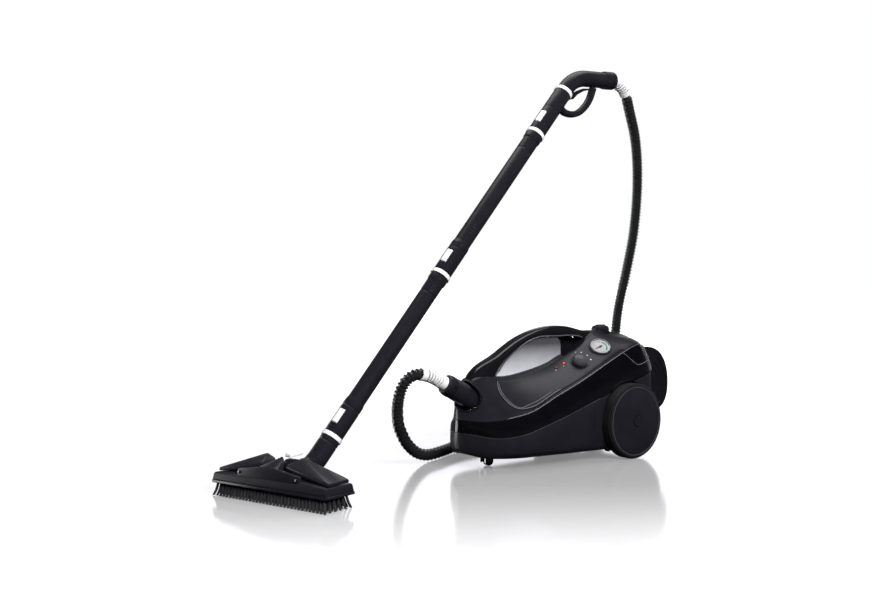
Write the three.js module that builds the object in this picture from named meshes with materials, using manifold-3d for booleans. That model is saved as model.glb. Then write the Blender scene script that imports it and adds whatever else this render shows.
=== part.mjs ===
// A canister steam cleaner with its wand and floor brush, in millimetres, +Z up, floor at z = 0.
// The machine's nose points to -X. The wand leans over it from the brush, and the hose joins the two.
import * as THREE from 'three';
import { ConvexGeometry } from 'three/addons/geometries/ConvexGeometry.js';
import { mergeVertices } from 'three/addons/utils/BufferGeometryUtils.js';
import Module from 'manifold-3d';

const wasm = await Module();
wasm.setup();

// ---- driving dimensions ----
const GAP = 0.3; // clearance between pieces that touch
const FRAME_SHIFT = new THREE.Vector3(405.8, 35, 0); // from the wheel axle's middle to the part's origin

const WHEEL_RADIUS = 90;
const WHEEL_INNER_FACE = 117; // |y| of the wheel's inner face
const WHEEL_WIDTH = 28;
const AXLE_RADIUS = 8;
const NOSE_X = -428;
const REAR_X = 132;
const SIDE_END_X = 92; // where the side panels stop and the rear panel starts
const WALL = 4;
const CAVITY_HALF_WIDTH = 105;
const RIDGE_HALF_WIDTH = 22;

const HANDLE_HALF_WIDTH = 19;
const FILLER_X = 27;
const PLUG_TILT = THREE.MathUtils.degToRad(23); // rise of the hose plug above level
const SOCKET_POINT = [-410, 0, 173]; // where the plug's axis meets the nose
const PLUG_RADIUS = 24;
const SOCKET_RADIUS = 33;

const HOSE_RADIUS = 12;
const WAND_LEAN = THREE.MathUtils.degToRad(40.1);
const WAND_FOOT = [-782, -43.5, 110.7]; // middle of the lowest white ring
const RING_STEP = 425.5; // from ring to ring along the wand
const GRIP_LENGTH = 138;
const RING_RADIUS = 22.5;
const RING_WIDTH = 9;
const TUBE_RADIUS = 19.2;
const SLEEVE_RADIUS = 20.8;

const BRUSH_CENTRE = [-905, -59, 0];
const BRUSH_YAW = THREE.MathUtils.degToRad(16.8);
const BRUSH_HALF_LENGTH = 154;
const BRUSH_HALF_WIDTH = 42;
const BRUSH_FLANGE_Z = 26;
const NECK_REACH = 38; // from the brush's swivel axis back to the lean axis
const NECK_HEIGHT = 62;

// ---- body lines along x: [x, value], joined by smooth curves ----
const BAND_FOOT = [[-428, 84], [-372, 75], [-262, 98], [-87, 152], [92, 203], [132, 205]];
const BAND_TOP = [[-428, 112], [-390, 110], [-340, 118], [-279, 131], [-208, 162], [-139, 189], [24, 256],
  [80, 267], [132, 250]];
const SHOULDER_SHARE = [[-428, 0.8], [-279, 0.81], [-139, 0.81], [24, 0.76], [92, 0.7], [132, 0.7]];
const RIDGE = [[-428, 142], [-412, 178], [-395, 200], [-360, 204], [-300, 200], [-240, 207], [-172, 223],
  [-124, 244], [-75, 264], [-45, 284], [-20, 295], [30, 292], [92, 284], [118, 274], [132, 256]];
const VALLEY_DEPTH = [[-428, -3], [-125, -3], [-112, 14], [-85, 24], [-62, 26], [-46, -2], [132, -3]];

const materials = {
  satin: () => new THREE.MeshStandardMaterial({ color: 0x17161a, roughness: 0.45, metalness: 0 }),
  gloss: () => new THREE.MeshStandardMaterial({ color: 0x050506, roughness: 0.06, metalness: 0 }),
  rubber: () => new THREE.MeshStandardMaterial({ color: 0x0d0d0e, roughness: 0.8, metalness: 0 }),
  white: () => new THREE.MeshStandardMaterial({ color: 0xf2f2f2, roughness: 0.35, metalness: 0 }),
  grey: () => new THREE.MeshStandardMaterial({ color: 0x6d6d72, roughness: 0.25, metalness: 0 }),
  steel: () => new THREE.MeshStandardMaterial({ color: 0xc5c7ca, roughness: 0.25, metalness: 1 }),
  brass: () => new THREE.MeshStandardMaterial({ color: 0xb08a45, roughness: 0.35, metalness: 1 }),
  red: () => new THREE.MeshStandardMaterial({ color: 0xe0261c, roughness: 0.2, metalness: 0 }),
  green: () => new THREE.MeshStandardMaterial({ color: 0x1d6b3a, roughness: 0.6, metalness: 0 }),
};

const root = new THREE.Group();
const machine = new THREE.Group();
const wand = new THREE.Group();
const brush = new THREE.Group();
machine.position.copy(FRAME_SHIFT);
wand.position.set(...WAND_FOOT).add(FRAME_SHIFT);
wand.rotation.y = WAND_LEAN;
brush.position.set(...BRUSH_CENTRE).add(FRAME_SHIFT);
brush.rotation.z = BRUSH_YAW;
root.add(machine, wand, brush);

// ---- helpers ----
function addPiece(group, name, geometry, material) {
  const mesh = new THREE.Mesh(geometry, materials[material]());
  mesh.name = name;
  group.add(mesh);
  return mesh;
}

function toSolid(geometry) {
  const plain = geometry.clone();
  plain.deleteAttribute('normal');
  plain.deleteAttribute('uv');
  const merged = mergeVertices(plain, 1e-4);
  const mesh = new wasm.Mesh({
    numProp: 3,
    vertProperties: new Float32Array(merged.attributes.position.array),
    triVerts: new Uint32Array(merged.index.array),
  });
  return new wasm.Manifold(mesh);
}

function fromSolid(solid) {
  const mesh = solid.getMesh();
  const geometry = new THREE.BufferGeometry();
  geometry.setAttribute('position', new THREE.BufferAttribute(new Float32Array(mesh.vertProperties), 3));
  geometry.setIndex(new THREE.BufferAttribute(new Uint32Array(mesh.triVerts), 1));
  return geometry;
}

function join(...geometries) {
  return fromSolid(geometries.map(toSolid).reduce((sum, next) => sum.add(next)));
}

function cut(geometry, ...tools) {
  return fromSolid(tools.map(toSolid).reduce((left, tool) => left.subtract(tool), toSolid(geometry)));
}

function keep(geometry, ...tools) {
  return fromSolid(tools.map(toSolid).reduce((left, tool) => left.intersect(tool), toSolid(geometry)));
}

// Smooth value at x of a curve given by [x, value] pairs.
function along(table, x) {
  const last = table.length - 1;
  if (x <= table[0][0]) return table[0][1];
  if (x >= table[last][0]) return table[last][1];
  const i = table.findIndex((pair) => pair[0] > x) - 1;
  const [x0, v0] = table[i];
  const [x1, v1] = table[i + 1];
  const slope = (a, b) => (table[b][1] - table[a][1]) / (table[b][0] - table[a][0]);
  const m0 = i > 0 ? slope(i - 1, i + 1) : slope(i, i + 1);
  const m1 = i + 1 < last ? slope(i, i + 2) : slope(i, i + 1);
  const t = (x - x0) / (x1 - x0);
  const h = x1 - x0;
  return (2 * t ** 3 - 3 * t ** 2 + 1) * v0 + (t ** 3 - 2 * t ** 2 + t) * h * m0
    + (3 * t ** 2 - 2 * t ** 3) * v1 + (t ** 3 - t ** 2) * h * m1;
}

function box(x0, x1, y0, y1, z0, z1) {
  const geometry = new THREE.BoxGeometry(x1 - x0, y1 - y0, z1 - z0);
  geometry.translate((x0 + x1) / 2, (y0 + y1) / 2, (z0 + z1) / 2);
  return geometry;
}

// A round solid about Z from a list of [radius, z] points.
function turned(points, segments = 24) {
  const profile = points.map(([r, z]) => new THREE.Vector2(r, z));
  return new THREE.LatheGeometry(profile, segments).rotateX(Math.PI / 2);
}

function disc(radius, z0, z1, segments = 24) {
  return turned([[0, z0], [radius, z0], [radius, z1], [0, z1]], segments);
}

function pipe(outer, inner, z0, z1, segments = 24) {
  return turned([[inner, z0], [outer, z0], [outer, z1], [inner, z1], [inner, z0]], segments);
}

// Turn a solid made about Z so that its axis points along `direction`, then move it to `place`.
function aim(geometry, direction, place) {
  const turn = new THREE.Quaternion().setFromUnitVectors(
    new THREE.Vector3(0, 0, 1), new THREE.Vector3(...direction).normalize());
  geometry.applyQuaternion(turn);
  geometry.translate(...place);
  return geometry;
}

// A side outline of [x, z] points, made solid from y0 to y1.
function sidePlate(points, y0, y1) {
  const shape = new THREE.Shape(points.map(([x, z]) => new THREE.Vector2(x, z)));
  const geometry = new THREE.ExtrudeGeometry(shape, { depth: y1 - y0, bevelEnabled: false });
  geometry.rotateX(Math.PI / 2);
  geometry.translate(0, y1, 0);
  return geometry;
}

// A plan outline of [x, y] points, made solid from z0 to z1.
function planPlate(points, z0, z1) {
  const shape = new THREE.Shape(points.map(([x, y]) => new THREE.Vector2(x, y)));
  const geometry = new THREE.ExtrudeGeometry(shape, { depth: z1 - z0, bevelEnabled: false });
  geometry.translate(0, 0, z0);
  return geometry;
}

// A round bar of constant radius along smooth points.
function bar(points, radius, steps, sides = 10) {
  const knots = points.map((p) => new THREE.Vector3(...p));
  const curve = new THREE.CatmullRomCurve3(knots, false, 'centripetal');
  const section = new THREE.Shape();
  section.absarc(0, 0, radius, 0, 2 * Math.PI, false);
  return new THREE.ExtrudeGeometry(section, {
    steps, extrudePath: curve, bevelEnabled: false, curveSegments: sides / 2,
  });
}

function hull(points) {
  return new ConvexGeometry(points.map((p) => new THREE.Vector3(...p)));
}

// ---- machine body: one hollow form, sliced into its panels ----
function bodyHalfWidth(x) {
  if (x < -300) return 118 * (1 - ((-300 - x) / 128.5) ** 2) ** 0.7;
  if (x < -150) return 118 + 6 * THREE.MathUtils.smoothstep(x, -300, -150);
  if (x < 40) return 124;
  return 124 * (1 - ((x - 40) / 94) ** 2.6) ** 0.5;
}

function bodyFloor(x) {
  if (x < -380) return 28 + 17 * ((-380 - x) / 48) ** 2;
  return x < 92 ? THREE.MathUtils.mapLinear(x, -380, 92, 28, 20) : 20 + 24 * ((x - 92) / 40) ** 2;
}

// Half outline of the body at x, from the floor's middle round to the ridge's middle.
// `grow` moves the skin outwards (or inwards when it is negative).
function bodySection(x, grow) {
  const inside = grow < -1;
  const free = Math.max(bodyHalfWidth(x) + grow, 3);
  const w = inside ? Math.min(free, CAVITY_HALF_WIDTH) : free;
  const low = bodyFloor(x) - grow;
  const foot = along(BAND_FOOT, x);
  const top = along(BAND_TOP, x) + grow * 0.8;
  const shoulder = Math.max(bodyHalfWidth(x) * along(SHOULDER_SHARE, x) + grow, 2.5);
  const ridge = along(RIDGE, x) + grow;
  const depth = along(VALLEY_DEPTH, x);
  const valley = ridge - depth;
  const ridgeY = Math.min(RIDGE_HALF_WIDTH - Math.sign(depth) * grow, shoulder * 0.6);
  return [
    [0, low],
    [0.8 * w, low],
    [0.95 * w, low + 10],
    [w, (low + foot) / 2],
    [0.985 * w, foot],
    [0.5 * (0.985 * w + shoulder) + 3, 0.5 * (foot + top) + 3],
    [shoulder, top],
    [0.5 * (shoulder + ridgeY), 0.5 * (top + ridge) + 4],
    [ridgeY, ridge],
    [ridgeY * 0.75, valley],
    [0, valley],
  ];
}

const BODY_STATIONS = [-428, -424, -414, -400, -380, -355, -325, -295, -262, -230, -200, -165, -139, -125,
  -112, -95, -75, -60, -46, -20, 24, 60, 92, 108, 120, 128, 132];

function bodySolid(grow) {
  const half = bodySection(0, 0).length - 1;
  const count = 2 * half;
  const rows = BODY_STATIONS.length - 1;
  const geometry = new THREE.CylinderGeometry(1, 1, 1, count, rows);
  const position = geometry.attributes.position;
  const middle = (NOSE_X + REAR_X) / 2;
  const stretch = 1 + grow / ((REAR_X - NOSE_X) / 2);
  for (let i = 0; i < position.count; i += 1) {
    const radius = Math.hypot(position.getX(i), position.getZ(i));
    const row = Math.round((position.getY(i) + 0.5) * rows);
    const angle = Math.atan2(position.getX(i), position.getZ(i));
    const step = ((Math.round((angle / (2 * Math.PI)) * count) % count) + count) % count;
    const x = BODY_STATIONS[row];
    const section = bodySection(x, grow);
    const side = step <= half ? 1 : -1;
    const [y, z] = radius < 0.5
      ? [0, (section[0][1] + section[half][1]) / 2]
      : section[side > 0 ? step : count - step];
    position.setXYZ(i, middle + (x - middle) * stretch, side * y, z);
  }
  return geometry;
}

// Everything between two of the body's side lines, as a slab across the whole width.
function bandSlab(lowLine, lowShift, highLine, highShift) {
  const xs = [-470, ...BODY_STATIONS, 170];
  const low = xs.map((x) => [x, lowLine ? along(lowLine, x) + lowShift : -20]);
  const high = xs.map((x) => [x, highLine ? along(highLine, x) + highShift : 400]);
  return sidePlate([...low, ...high.reverse()], -200, 200);
}

function rearCoverOutline(margin) {
  return [[-32 - margin, 0], [22 - margin, 110], [140, 110], [140, -110], [22 - margin, -110]];
}

function controlPanelOutline(margin) {
  const edge = (x) => 5 - bodyHalfWidth(x) * along(SHOULDER_SHARE, x) - margin;
  const outer = [[16 + margin, edge(20)], ...[-40, -100, -160, -220, -285].map((x) => [x, edge(x)])];
  const front = [[-322 - margin, -82], [-342 - margin, -62], [-346 - margin, -45], [-334, -27 + margin]];
  return [[-21 + margin, -24.5 + margin], ...outer, ...front];
}

// A point on the near roof of the body at (x, y), and the roof's outward direction there.
function roof(x, y) {
  const height = (px, py) => {
    const section = bodySection(px, 0);
    const i = Math.abs(py) > section[7][0] ? 6 : 7;
    const [y0, z0] = section[i];
    const [y1, z1] = section[i + 1];
    return THREE.MathUtils.mapLinear(Math.abs(py), y0, y1, z0, z1);
  };
  const fallX = height(x - 5, y) - height(x + 5, y);
  const fallY = height(x, y - 5) - height(x, y + 5);
  const normal = new THREE.Vector3(fallX, fallY, 10);
  return { place: [x, y, height(x, y)], up: normal.normalize().toArray() };
}

const outerBody = bodySolid(0);
const grownBody = bodySolid(2 * GAP);
const plugAxis = [-Math.cos(PLUG_TILT), 0, Math.sin(PLUG_TILT)];

function alongPlug(s, side = 0) {
  return [SOCKET_POINT[0] + plugAxis[0] * s, side, SOCKET_POINT[2] + plugAxis[2] * s];
}

function makeBody() {
  const arches = [1, -1].map((side) => {
    const arch = disc(WHEEL_RADIUS + 5, 0, 40, 40);
    return aim(arch, [0, side, 0], [0, side * (WHEEL_INNER_FACE - 3.5), WHEEL_RADIUS]);
  });
  const recess = aim(disc(SOCKET_RADIUS, -52, 80, 24), plugAxis, SOCKET_POINT);
  const axleHole = aim(disc(AXLE_RADIUS + 0.5, -200, 200), [0, 1, 0], [0, 0, WHEEL_RADIUS]);
  const fillerHole = disc(18.4, 250, 400).translate(FILLER_X, 0, 0);
  const shell = cut(outerBody, bodySolid(-WALL), ...arches, recess, axleHole, fillerHole);
  const front = keep(shell, box(-500, SIDE_END_X, -200, 200, 0, 400));
  const upper = keep(front, bandSlab(BAND_TOP, GAP, null, 0));
  addPiece(machine, 'lower_shell', keep(front, bandSlab(null, 0, BAND_FOOT, 0)), 'satin');
  addPiece(machine, 'side_band', keep(front, bandSlab(BAND_FOOT, GAP, BAND_TOP, 0)), 'gloss');
  const cover = planPlate(rearCoverOutline(0), 0, 400);
  const panel = planPlate(controlPanelOutline(0), 100, 400);
  addPiece(machine, 'rear_cover', keep(cut(upper, box(-500, -40, -200, 200, 0, 400)), cover), 'satin');
  const coverRoom = planPlate(rearCoverOutline(GAP), 0, 400);
  addPiece(machine, 'control_panel', cut(keep(upper, panel), coverRoom), 'satin');
  const deck = cut(upper, coverRoom, planPlate(controlPanelOutline(GAP), 90, 410));
  addPiece(machine, 'upper_deck', deck, 'satin');
  addPiece(machine, 'rear_panel', keep(shell, box(SIDE_END_X + GAP, 200, -200, 200, 0, 400)), 'satin');
}

// ---- handle, inner panel and socket ----
const HANDLE_OUTER = [[-408, 188], [-393, 212], [-371, 230], [-321, 253], [-286, 273], [-251, 291],
  [-203, 307.5], [-154, 316], [-103, 315], [-51, 304], [-14, 297], [-14, 262]];
const HANDLE_INNER = [[-331, 188], [-315, 219], [-292, 243], [-240, 276], [-197, 289], [-132, 290],
  [-92, 291], [-58, 286], [-50, 278], [-50, 262]];

function makeHandle() {
  const outline = [...HANDLE_OUTER, ...[...HANDLE_INNER].reverse()];
  const arch = sidePlate(outline, -HANDLE_HALF_WIDTH, HANDLE_HALF_WIDTH);
  const recess = aim(disc(SOCKET_RADIUS, -60, 90, 24), plugAxis, SOCKET_POINT);
  const webOutline = [[-136, 190], [-136, 292], [-92, 294], [-58, 290], [-46, 280], [-46, 190]];
  const web = sidePlate(webOutline, 15.3, HANDLE_HALF_WIDTH);
  addPiece(machine, 'carry_handle', cut(join(arch, web), grownBody, outerBody, recess), 'satin');
  const top = HANDLE_INNER.slice(0, 6).map(([x, z]) => [x + 1.5, z - 1.5]);
  const panel = sidePlate([...top, [-122, 278], [-119, 262], [-119, 190]], -12, 12);
  addPiece(machine, 'inner_panel', cut(panel, grownBody), 'grey');
}

function makeSocket() {
  const hood = box(26.3, 29.5, -11, 11, -44, 22);
  const socket = join(pipe(31.5, 25, -51.5, -34), hood);
  addPiece(machine, 'hose_socket', aim(socket, plugAxis, SOCKET_POINT), 'satin');
}

function makePlug() {
  const body = turned([[0, -33], [21, -33], [PLUG_RADIUS, -26], [PLUG_RADIUS, 20], [21.5, 26], [21.5, 30],
    [PLUG_RADIUS - 1, 34], [19, 58], [0, 58]]);
  const bore = disc(5.5, 14, 40, 16);
  const side = new THREE.Vector3(0, -1, 0);
  const pocket = aim(bore, side.toArray(), alongPlug(40));
  addPiece(machine, 'hose_plug', cut(aim(body, plugAxis, SOCKET_POINT), pocket), 'satin');
  addPiece(machine, 'plug_button', aim(disc(5, 17, 23.5, 16), side.toArray(), alongPlug(40)), 'satin');
  const relief = [alongPlug(58 + GAP), alongPlug(78), alongPlug(98), [-530, 0, 221]];
  addPiece(machine, 'plug_strain_relief', bar(relief, 13.5, 6, 12), 'white');
}

// ---- controls on the roof ----
const GAUGE_AT = [-37, -62];
const KNOB_AT = [-106, -62];
const LAMPS_AT = [[-162, -40], [-139, -42]];

function onRoof(name, geometry, at, material, trim = false) {
  const spot = roof(...at);
  const placed = aim(geometry, spot.up, spot.place);
  addPiece(machine, name, trim ? cut(placed, grownBody) : placed, material);
}

function makeControls() {
  onRoof('pressure_gauge', cut(disc(25, -8, 5, 32), disc(21.5, 3.5, 10, 32)), GAUGE_AT, 'steel', true);
  const needle = join(disc(2.2, 3.8, 5, 12), box(-16, 6, -0.8, 0.8, 3.9, 4.8));
  onRoof('gauge_needle', needle, GAUGE_AT, 'satin');
  const pointer = box(-17.5, -9, -1.2, 1.2, 8, 16.5);
  const knob = turned([[0, 3.3], [18.5, 3.3], [18.5, 7], [17.2, 12], [13.5, 15.5], [7, 17.5], [0, 18]], 32);
  onRoof('steam_knob', join(knob, pointer), KNOB_AT, 'satin');
  LAMPS_AT.forEach((at, i) => onRoof(`indicator_lamp_${i + 1}`, disc(3.2, -4, 1.6, 16), at, 'red', true));
}

// ---- filler ----
function fillerPiece(name, geometry, material) {
  geometry.translate(FILLER_X, 0, 0);
  addPiece(machine, name, geometry, material);
}

function makeFiller() {
  fillerPiece('filler_cap_thread', disc(13.4, 284, 299.1), 'brass');
  const dome = turned([[0, 299.4], [22, 299.4], [22, 305.5], [19, 310.5], [12, 313], [0, 313.6]]);
  fillerPiece('filler_cap', join(dome, box(-16, 16, -3.5, 3.5, 307, 315)), 'satin');
}

// ---- inside the body ----
const BOILER = { x: -130, z: 112, radius: 62, half: 90 };
const BOILER_WALL = 2.5;

function makeBoiler() {
  const { x, z, radius, half } = BOILER;
  const tank = turned([[0, -half], [radius - 18, -half], [radius, -half + 16], [radius, half - 16],
    [radius - 18, half], [0, half]], 32);
  const inner = BOILER_WALL;
  const room = turned([[0, inner - half], [radius - 18 - inner, inner - half],
    [radius - inner, inner - half + 16], [radius - inner, half - inner - 16],
    [radius - 18 - inner, half - inner], [0, half - inner]], 32);
  const hollow = cut(tank, room, disc(3, -half - 5, 10 - half, 12));
  addPiece(machine, 'boiler', aim(hollow, [1, 0, 0], [x, 0, z]), 'steel');
  const clear = aim(disc(radius + GAP, -half - 5, half + 5, 32), [1, 0, 0], [x, 0, z]);
  const saddles = [x - 70, x + 58].map((at) => box(at, at + 12, -52, 52, 32, 92));
  const runners = [-47, 47].map((y) => box(x - 70, x + 70, y - 5, y + 5, 32, 36));
  const cradle = join(...saddles, ...runners);
  addPiece(machine, 'boiler_cradle', cut(cradle, clear), 'steel');
  addPiece(machine, 'heating_plate', cut(box(x - 54, x + 54, -34, 34, 42, 60), clear), 'steel');
  addPiece(machine, 'thermostat', disc(9, 0, 9, 16).translate(x + 30, 0, z + radius + GAP), 'brass');
  addPiece(machine, 'safety_valve', join(disc(7, 0, 16, 12), disc(10, 4, 9, 6))
    .translate(x - 30, 0, z + radius + GAP), 'brass');
}

function makePlumbing() {
  const { x, z, radius, half } = BOILER;
  const outlet = x - half;
  addPiece(machine, 'solenoid_valve', join(box(outlet - 62, outlet - 30, -16, 16, z - 14, z + 14),
    disc(13, 0, 26, 16).translate(outlet - 46, 0, z + 10),
    aim(disc(5, 0, 40, 12), [-1, 0, 0], [outlet - GAP, 0, z])), 'brass');
  const front = [[outlet - 63, 0, z], [outlet - 75, 0, z + 1], [-312, 0, 124],
    alongPlug(-66), alongPlug(-52.5)];
  addPiece(machine, 'steam_pipe', bar(front, 5, 10, 8), 'brass');
  const top = z + radius + GAP;
  const feed = [[FILLER_X, 0, 218], [FILLER_X, 0, 204], [8, 0, 193], [-28, 0, 189], [-60, 0, 186]];
  const inlet = disc(8, top, top + 18, 16).translate(-60, 0, 0);
  const neck = cut(disc(18, 210, 298.8), disc(14, 222, 310)).translate(FILLER_X, 0, 0);
  addPiece(machine, 'filler_neck', join(neck, bar(feed, 6, 10, 8), inlet), 'brass');
  addPiece(machine, 'control_board', box(-190, -80, 88, 90, 60, 130), 'green');
}

// ---- rear ----
function makeRear() {
  const cheek = [[94, 262], [124, 258], [150, 245], [168, 224], [178, 197], [181, 168], [178, 142],
    [166, 118], [146, 104], [112, 98], [96, 104]];
  const rails = [-86, 72].map((y) => sidePlate(cheek, y, y + 14));
  const link = box(168, 177, -80, 80, 160, 176);
  addPiece(machine, 'rear_rails', cut(join(...rails, link), grownBody), 'satin');
  const gland = turned([[0, 0], [11, 0], [11, 4], [7, 18], [0, 18]], 16);
  addPiece(machine, 'power_cord_gland', aim(gland, [1, 0, 0], [REAR_X + 1, 0, 80]), 'rubber');
}

// ---- wheels ----
function makeWheels() {
  [['left', -1], ['right', 1]].forEach(([label, side]) => {
    const place = (geometry) => aim(geometry, [0, side, 0], [0, 0, WHEEL_RADIUS]);
    const face = WHEEL_INNER_FACE + WHEEL_WIDTH;
    const inner = WHEEL_INNER_FACE;
    const tyre = turned([[72, inner], [87, inner], [WHEEL_RADIUS, 121], [WHEEL_RADIUS, 140],
      [88, 143], [72, 143], [72, inner]], 36);
    addPiece(machine, `wheel_tyre_${label}`, place(tyre), 'rubber');
    const bore = AXLE_RADIUS + 0.06;
    const disk = turned([[bore, inner], [72 - GAP, inner], [72 - GAP, 143 + GAP],
      [87, 143 + GAP], [87, face], [60, face + 4], [30, face + 6.5], [0, face + 7], [0, 141],
      [bore, 141], [bore, inner]], 36);
    addPiece(machine, `wheel_disk_${label}`, place(disk), 'satin');
  });
  const axle = aim(disc(AXLE_RADIUS, -140, 140), [0, 1, 0], [0, 0, WHEEL_RADIUS]);
  addPiece(machine, 'rear_axle', axle, 'steel');
}

const CASTER = { x: -345, trail: 8, radius: 11 };

function makeCaster() {
  const { x, trail, radius } = CASTER;
  const wheelAt = [x + trail, 0, radius];
  const fork = join(disc(15, 23, 26.8, 20).translate(x, 0, 0), box(x - 9, x + 15, 8.3, 10.3, 8, 23.5),
    box(x - 9, x + 15, -10.3, -8.3, 8, 23.5), aim(disc(2.5, -9, 9, 12), [0, 1, 0], wheelAt));
  addPiece(machine, 'caster_fork', fork, 'steel');
  addPiece(machine, 'caster_wheel', aim(pipe(radius, 2.56, -8, 8, 24), [0, 1, 0], wheelAt), 'rubber');
}

// ---- wand ----
const wandAxis = new THREE.Vector3(Math.sin(WAND_LEAN), 0, Math.cos(WAND_LEAN));
const wandFoot = new THREE.Vector3(...WAND_FOOT);
const GRIP_START = 2 * RING_STEP;
const GRIP_END = GRIP_START + GRIP_LENGTH;
const BUTTON_AT = 41; // from a ring up to the middle of its lock button

function alongWand(s) {
  return wandFoot.clone().addScaledVector(wandAxis, s).toArray();
}

function fromBrush(x, y, z) {
  return new THREE.Vector3(x, y, z).applyAxisAngle(new THREE.Vector3(0, 0, 1), BRUSH_YAW)
    .add(new THREE.Vector3(...BRUSH_CENTRE)).toArray();
}

function buttonPocket(s) {
  return box(-26, -14.6, -7.5, 7.5, s - 17.5, s + 17.5);
}

function makeWandTubes() {
  const half = RING_WIDTH / 2 + GAP;
  [0, RING_STEP, GRIP_START, GRIP_END].forEach((s, i) => {
    const ring = pipe(RING_RADIUS, 13, s - RING_WIDTH / 2, s + RING_WIDTH / 2);
    addPiece(wand, `white_ring_${i + 1}`, ring, 'white');
  });
  ['lower', 'upper'].forEach((label, i) => {
    const from = i * RING_STEP + half;
    const to = (i + 1) * RING_STEP - half;
    const tube = turned([[13, from], [SLEEVE_RADIUS, from], [SLEEVE_RADIUS, from + 78],
      [TUBE_RADIUS, from + 86], [TUBE_RADIUS, to - 16], [SLEEVE_RADIUS, to - 13],
      [SLEEVE_RADIUS, to], [13, to], [13, from]]);
    addPiece(wand, `extension_tube_${label}`, cut(tube, buttonPocket(i * RING_STEP + BUTTON_AT)), 'satin');
  });
  const grip = pipe(SLEEVE_RADIUS, 13, GRIP_START + half, GRIP_END - half);
  addPiece(wand, 'grip_tube', cut(grip, buttonPocket(GRIP_START + BUTTON_AT)), 'satin');
  [0, 1, 2].forEach((i) => {
    const s = i * RING_STEP + BUTTON_AT;
    addPiece(wand, `lock_button_${i + 1}`, box(-23, -17, -7.1, 7.1, s - 17, s + 17), 'white');
  });
}

const PIPE_BEND = 110;
const PIPE_END_RISE = THREE.MathUtils.degToRad(5);
const COLLAR_X = 4; // x of the collar's lower face, from the wheel axle

function pipePath() {
  const start = alongWand(GRIP_END + RING_WIDTH / 2 + 8);
  const a0 = Math.PI / 2 - WAND_LEAN;
  const points = [alongWand(GRIP_END + RING_WIDTH / 2 + GAP), start];
  for (let i = 1; i <= 7; i += 1) {
    const a = THREE.MathUtils.lerp(a0, PIPE_END_RISE, i / 7);
    points.push([start[0] + PIPE_BEND * (Math.sin(a0) - Math.sin(a)), start[1],
      start[2] + PIPE_BEND * (Math.cos(a) - Math.cos(a0))]);
  }
  const last = points[points.length - 1];
  const run = COLLAR_X - last[0];
  points.push([last[0] + run / 2, last[1], last[2] + (run / 2) * Math.tan(PIPE_END_RISE)]);
  points.push([COLLAR_X, last[1], last[2] + run * Math.tan(PIPE_END_RISE)]);
  return points;
}

function makeHandlePipe() {
  const path = pipePath();
  const y = WAND_FOOT[1];
  const end = path[path.length - 1];
  const out = [Math.cos(PIPE_END_RISE), 0, Math.sin(PIPE_END_RISE)];
  const collar = aim(disc(21.5, -0.6, 30), out, end);
  addPiece(machine, 'handle_pipe', join(bar(path, TUBE_RADIUS, 14, 16), collar), 'satin');
  const loop = [[-158, y, 838], [-146, y, 824], [-122, y, 819], [-96, y, 825], [-72, y, 843], [-56, y, 865],
    [-42, y, 897]];
  const grip = aim(disc(SLEEVE_RADIUS + GAP, -200, 0), wandAxis.toArray(), alongWand(GRIP_END));
  const ring = aim(disc(RING_RADIUS + GAP, -5, 5), wandAxis.toArray(), alongWand(GRIP_END));
  const clearPipe = bar(path, TUBE_RADIUS + GAP + 0.4, 14, 16);
  addPiece(machine, 'finger_loop', cut(bar(loop, 8.5, 16, 10), grip, ring, clearPipe), 'satin');
  const trigger = sidePlate([[-116, 855], [-104, 868], [-84, 878], [-62, 882], [-60, 886], [-84, 883.5],
    [-106, 874], [-120, 860]], y - 6.5, y + 6.5);
  addPiece(machine, 'steam_trigger', trigger, 'satin');
  const from = [end[0] + 32 * out[0], y, end[2] + 32 * out[2]];
  const relief = [from, [from[0] + 12, y, from[2] - 0.5], [from[0] + 25, y, from[2] - 8],
    [68, y + 1.5, 895], [74, y + 4.3, 887]];
  addPiece(machine, 'handle_strain_relief', bar(relief, 13.5, 8, 12), 'white');
}

const neckHinge = fromBrush(NECK_REACH, 0, NECK_HEIGHT);

function makeNeck() {
  const upward = new THREE.Vector3(0, 0, 1);
  const hingeAxis = new THREE.Vector3(0, 1, 0).applyAxisAngle(upward, BRUSH_YAW).toArray();
  const barrel = aim(cut(disc(14.5, -16.6, 16.6), disc(5.06, -30, 30)), hingeAxis, neckHinge);
  const sleeve = aim(disc(SLEEVE_RADIUS, -50, -RING_WIDTH / 2 - GAP), wandAxis.toArray(), WAND_FOOT);
  const arm = bar([[neckHinge[0] + 4, neckHinge[1] + 1, NECK_HEIGHT], [-850, -45.2, 61], [-833, -43.8, 63],
    [-818, -43.5, 71], [-806, -43.5, 84]], 13.5, 8, 14);
  const bore = aim(disc(5.06, -30, 30), hingeAxis, neckHinge);
  addPiece(machine, 'neck_socket', cut(join(barrel, arm, sleeve), bore), 'satin');
}

// ---- hose ----
const HOSE_ROUTE = [[-532.5, 0, 221.6], [-560, 3, 226], [-582, 9, 211], [-588, 17, 190], [-588, 25, 165],
  [-582, 34, 136], [-567, 44, 101], [-541, 54, 64], [-507, 64, 34], [-458, 77, 16], [-392, 111, 13],
  [-303, 167, 13], [-205, 205, 13], [-90, 228, 13], [20, 232, 13], [110, 222, 14], [176, 199, 20],
  [221, 171, 46], [242, 148, 100], [242, 130, 175], [228, 110, 270], [215, 95, 350], [212, 75, 452],
  [206, 50, 556], [184, 21, 682], [146, -6, 783], [104, -25, 847], [75.4, -38.5, 885.1]];

function makeHose() {
  addPiece(machine, 'steam_hose', bar(HOSE_ROUTE, HOSE_RADIUS, 46, 10), 'rubber');
}

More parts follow.
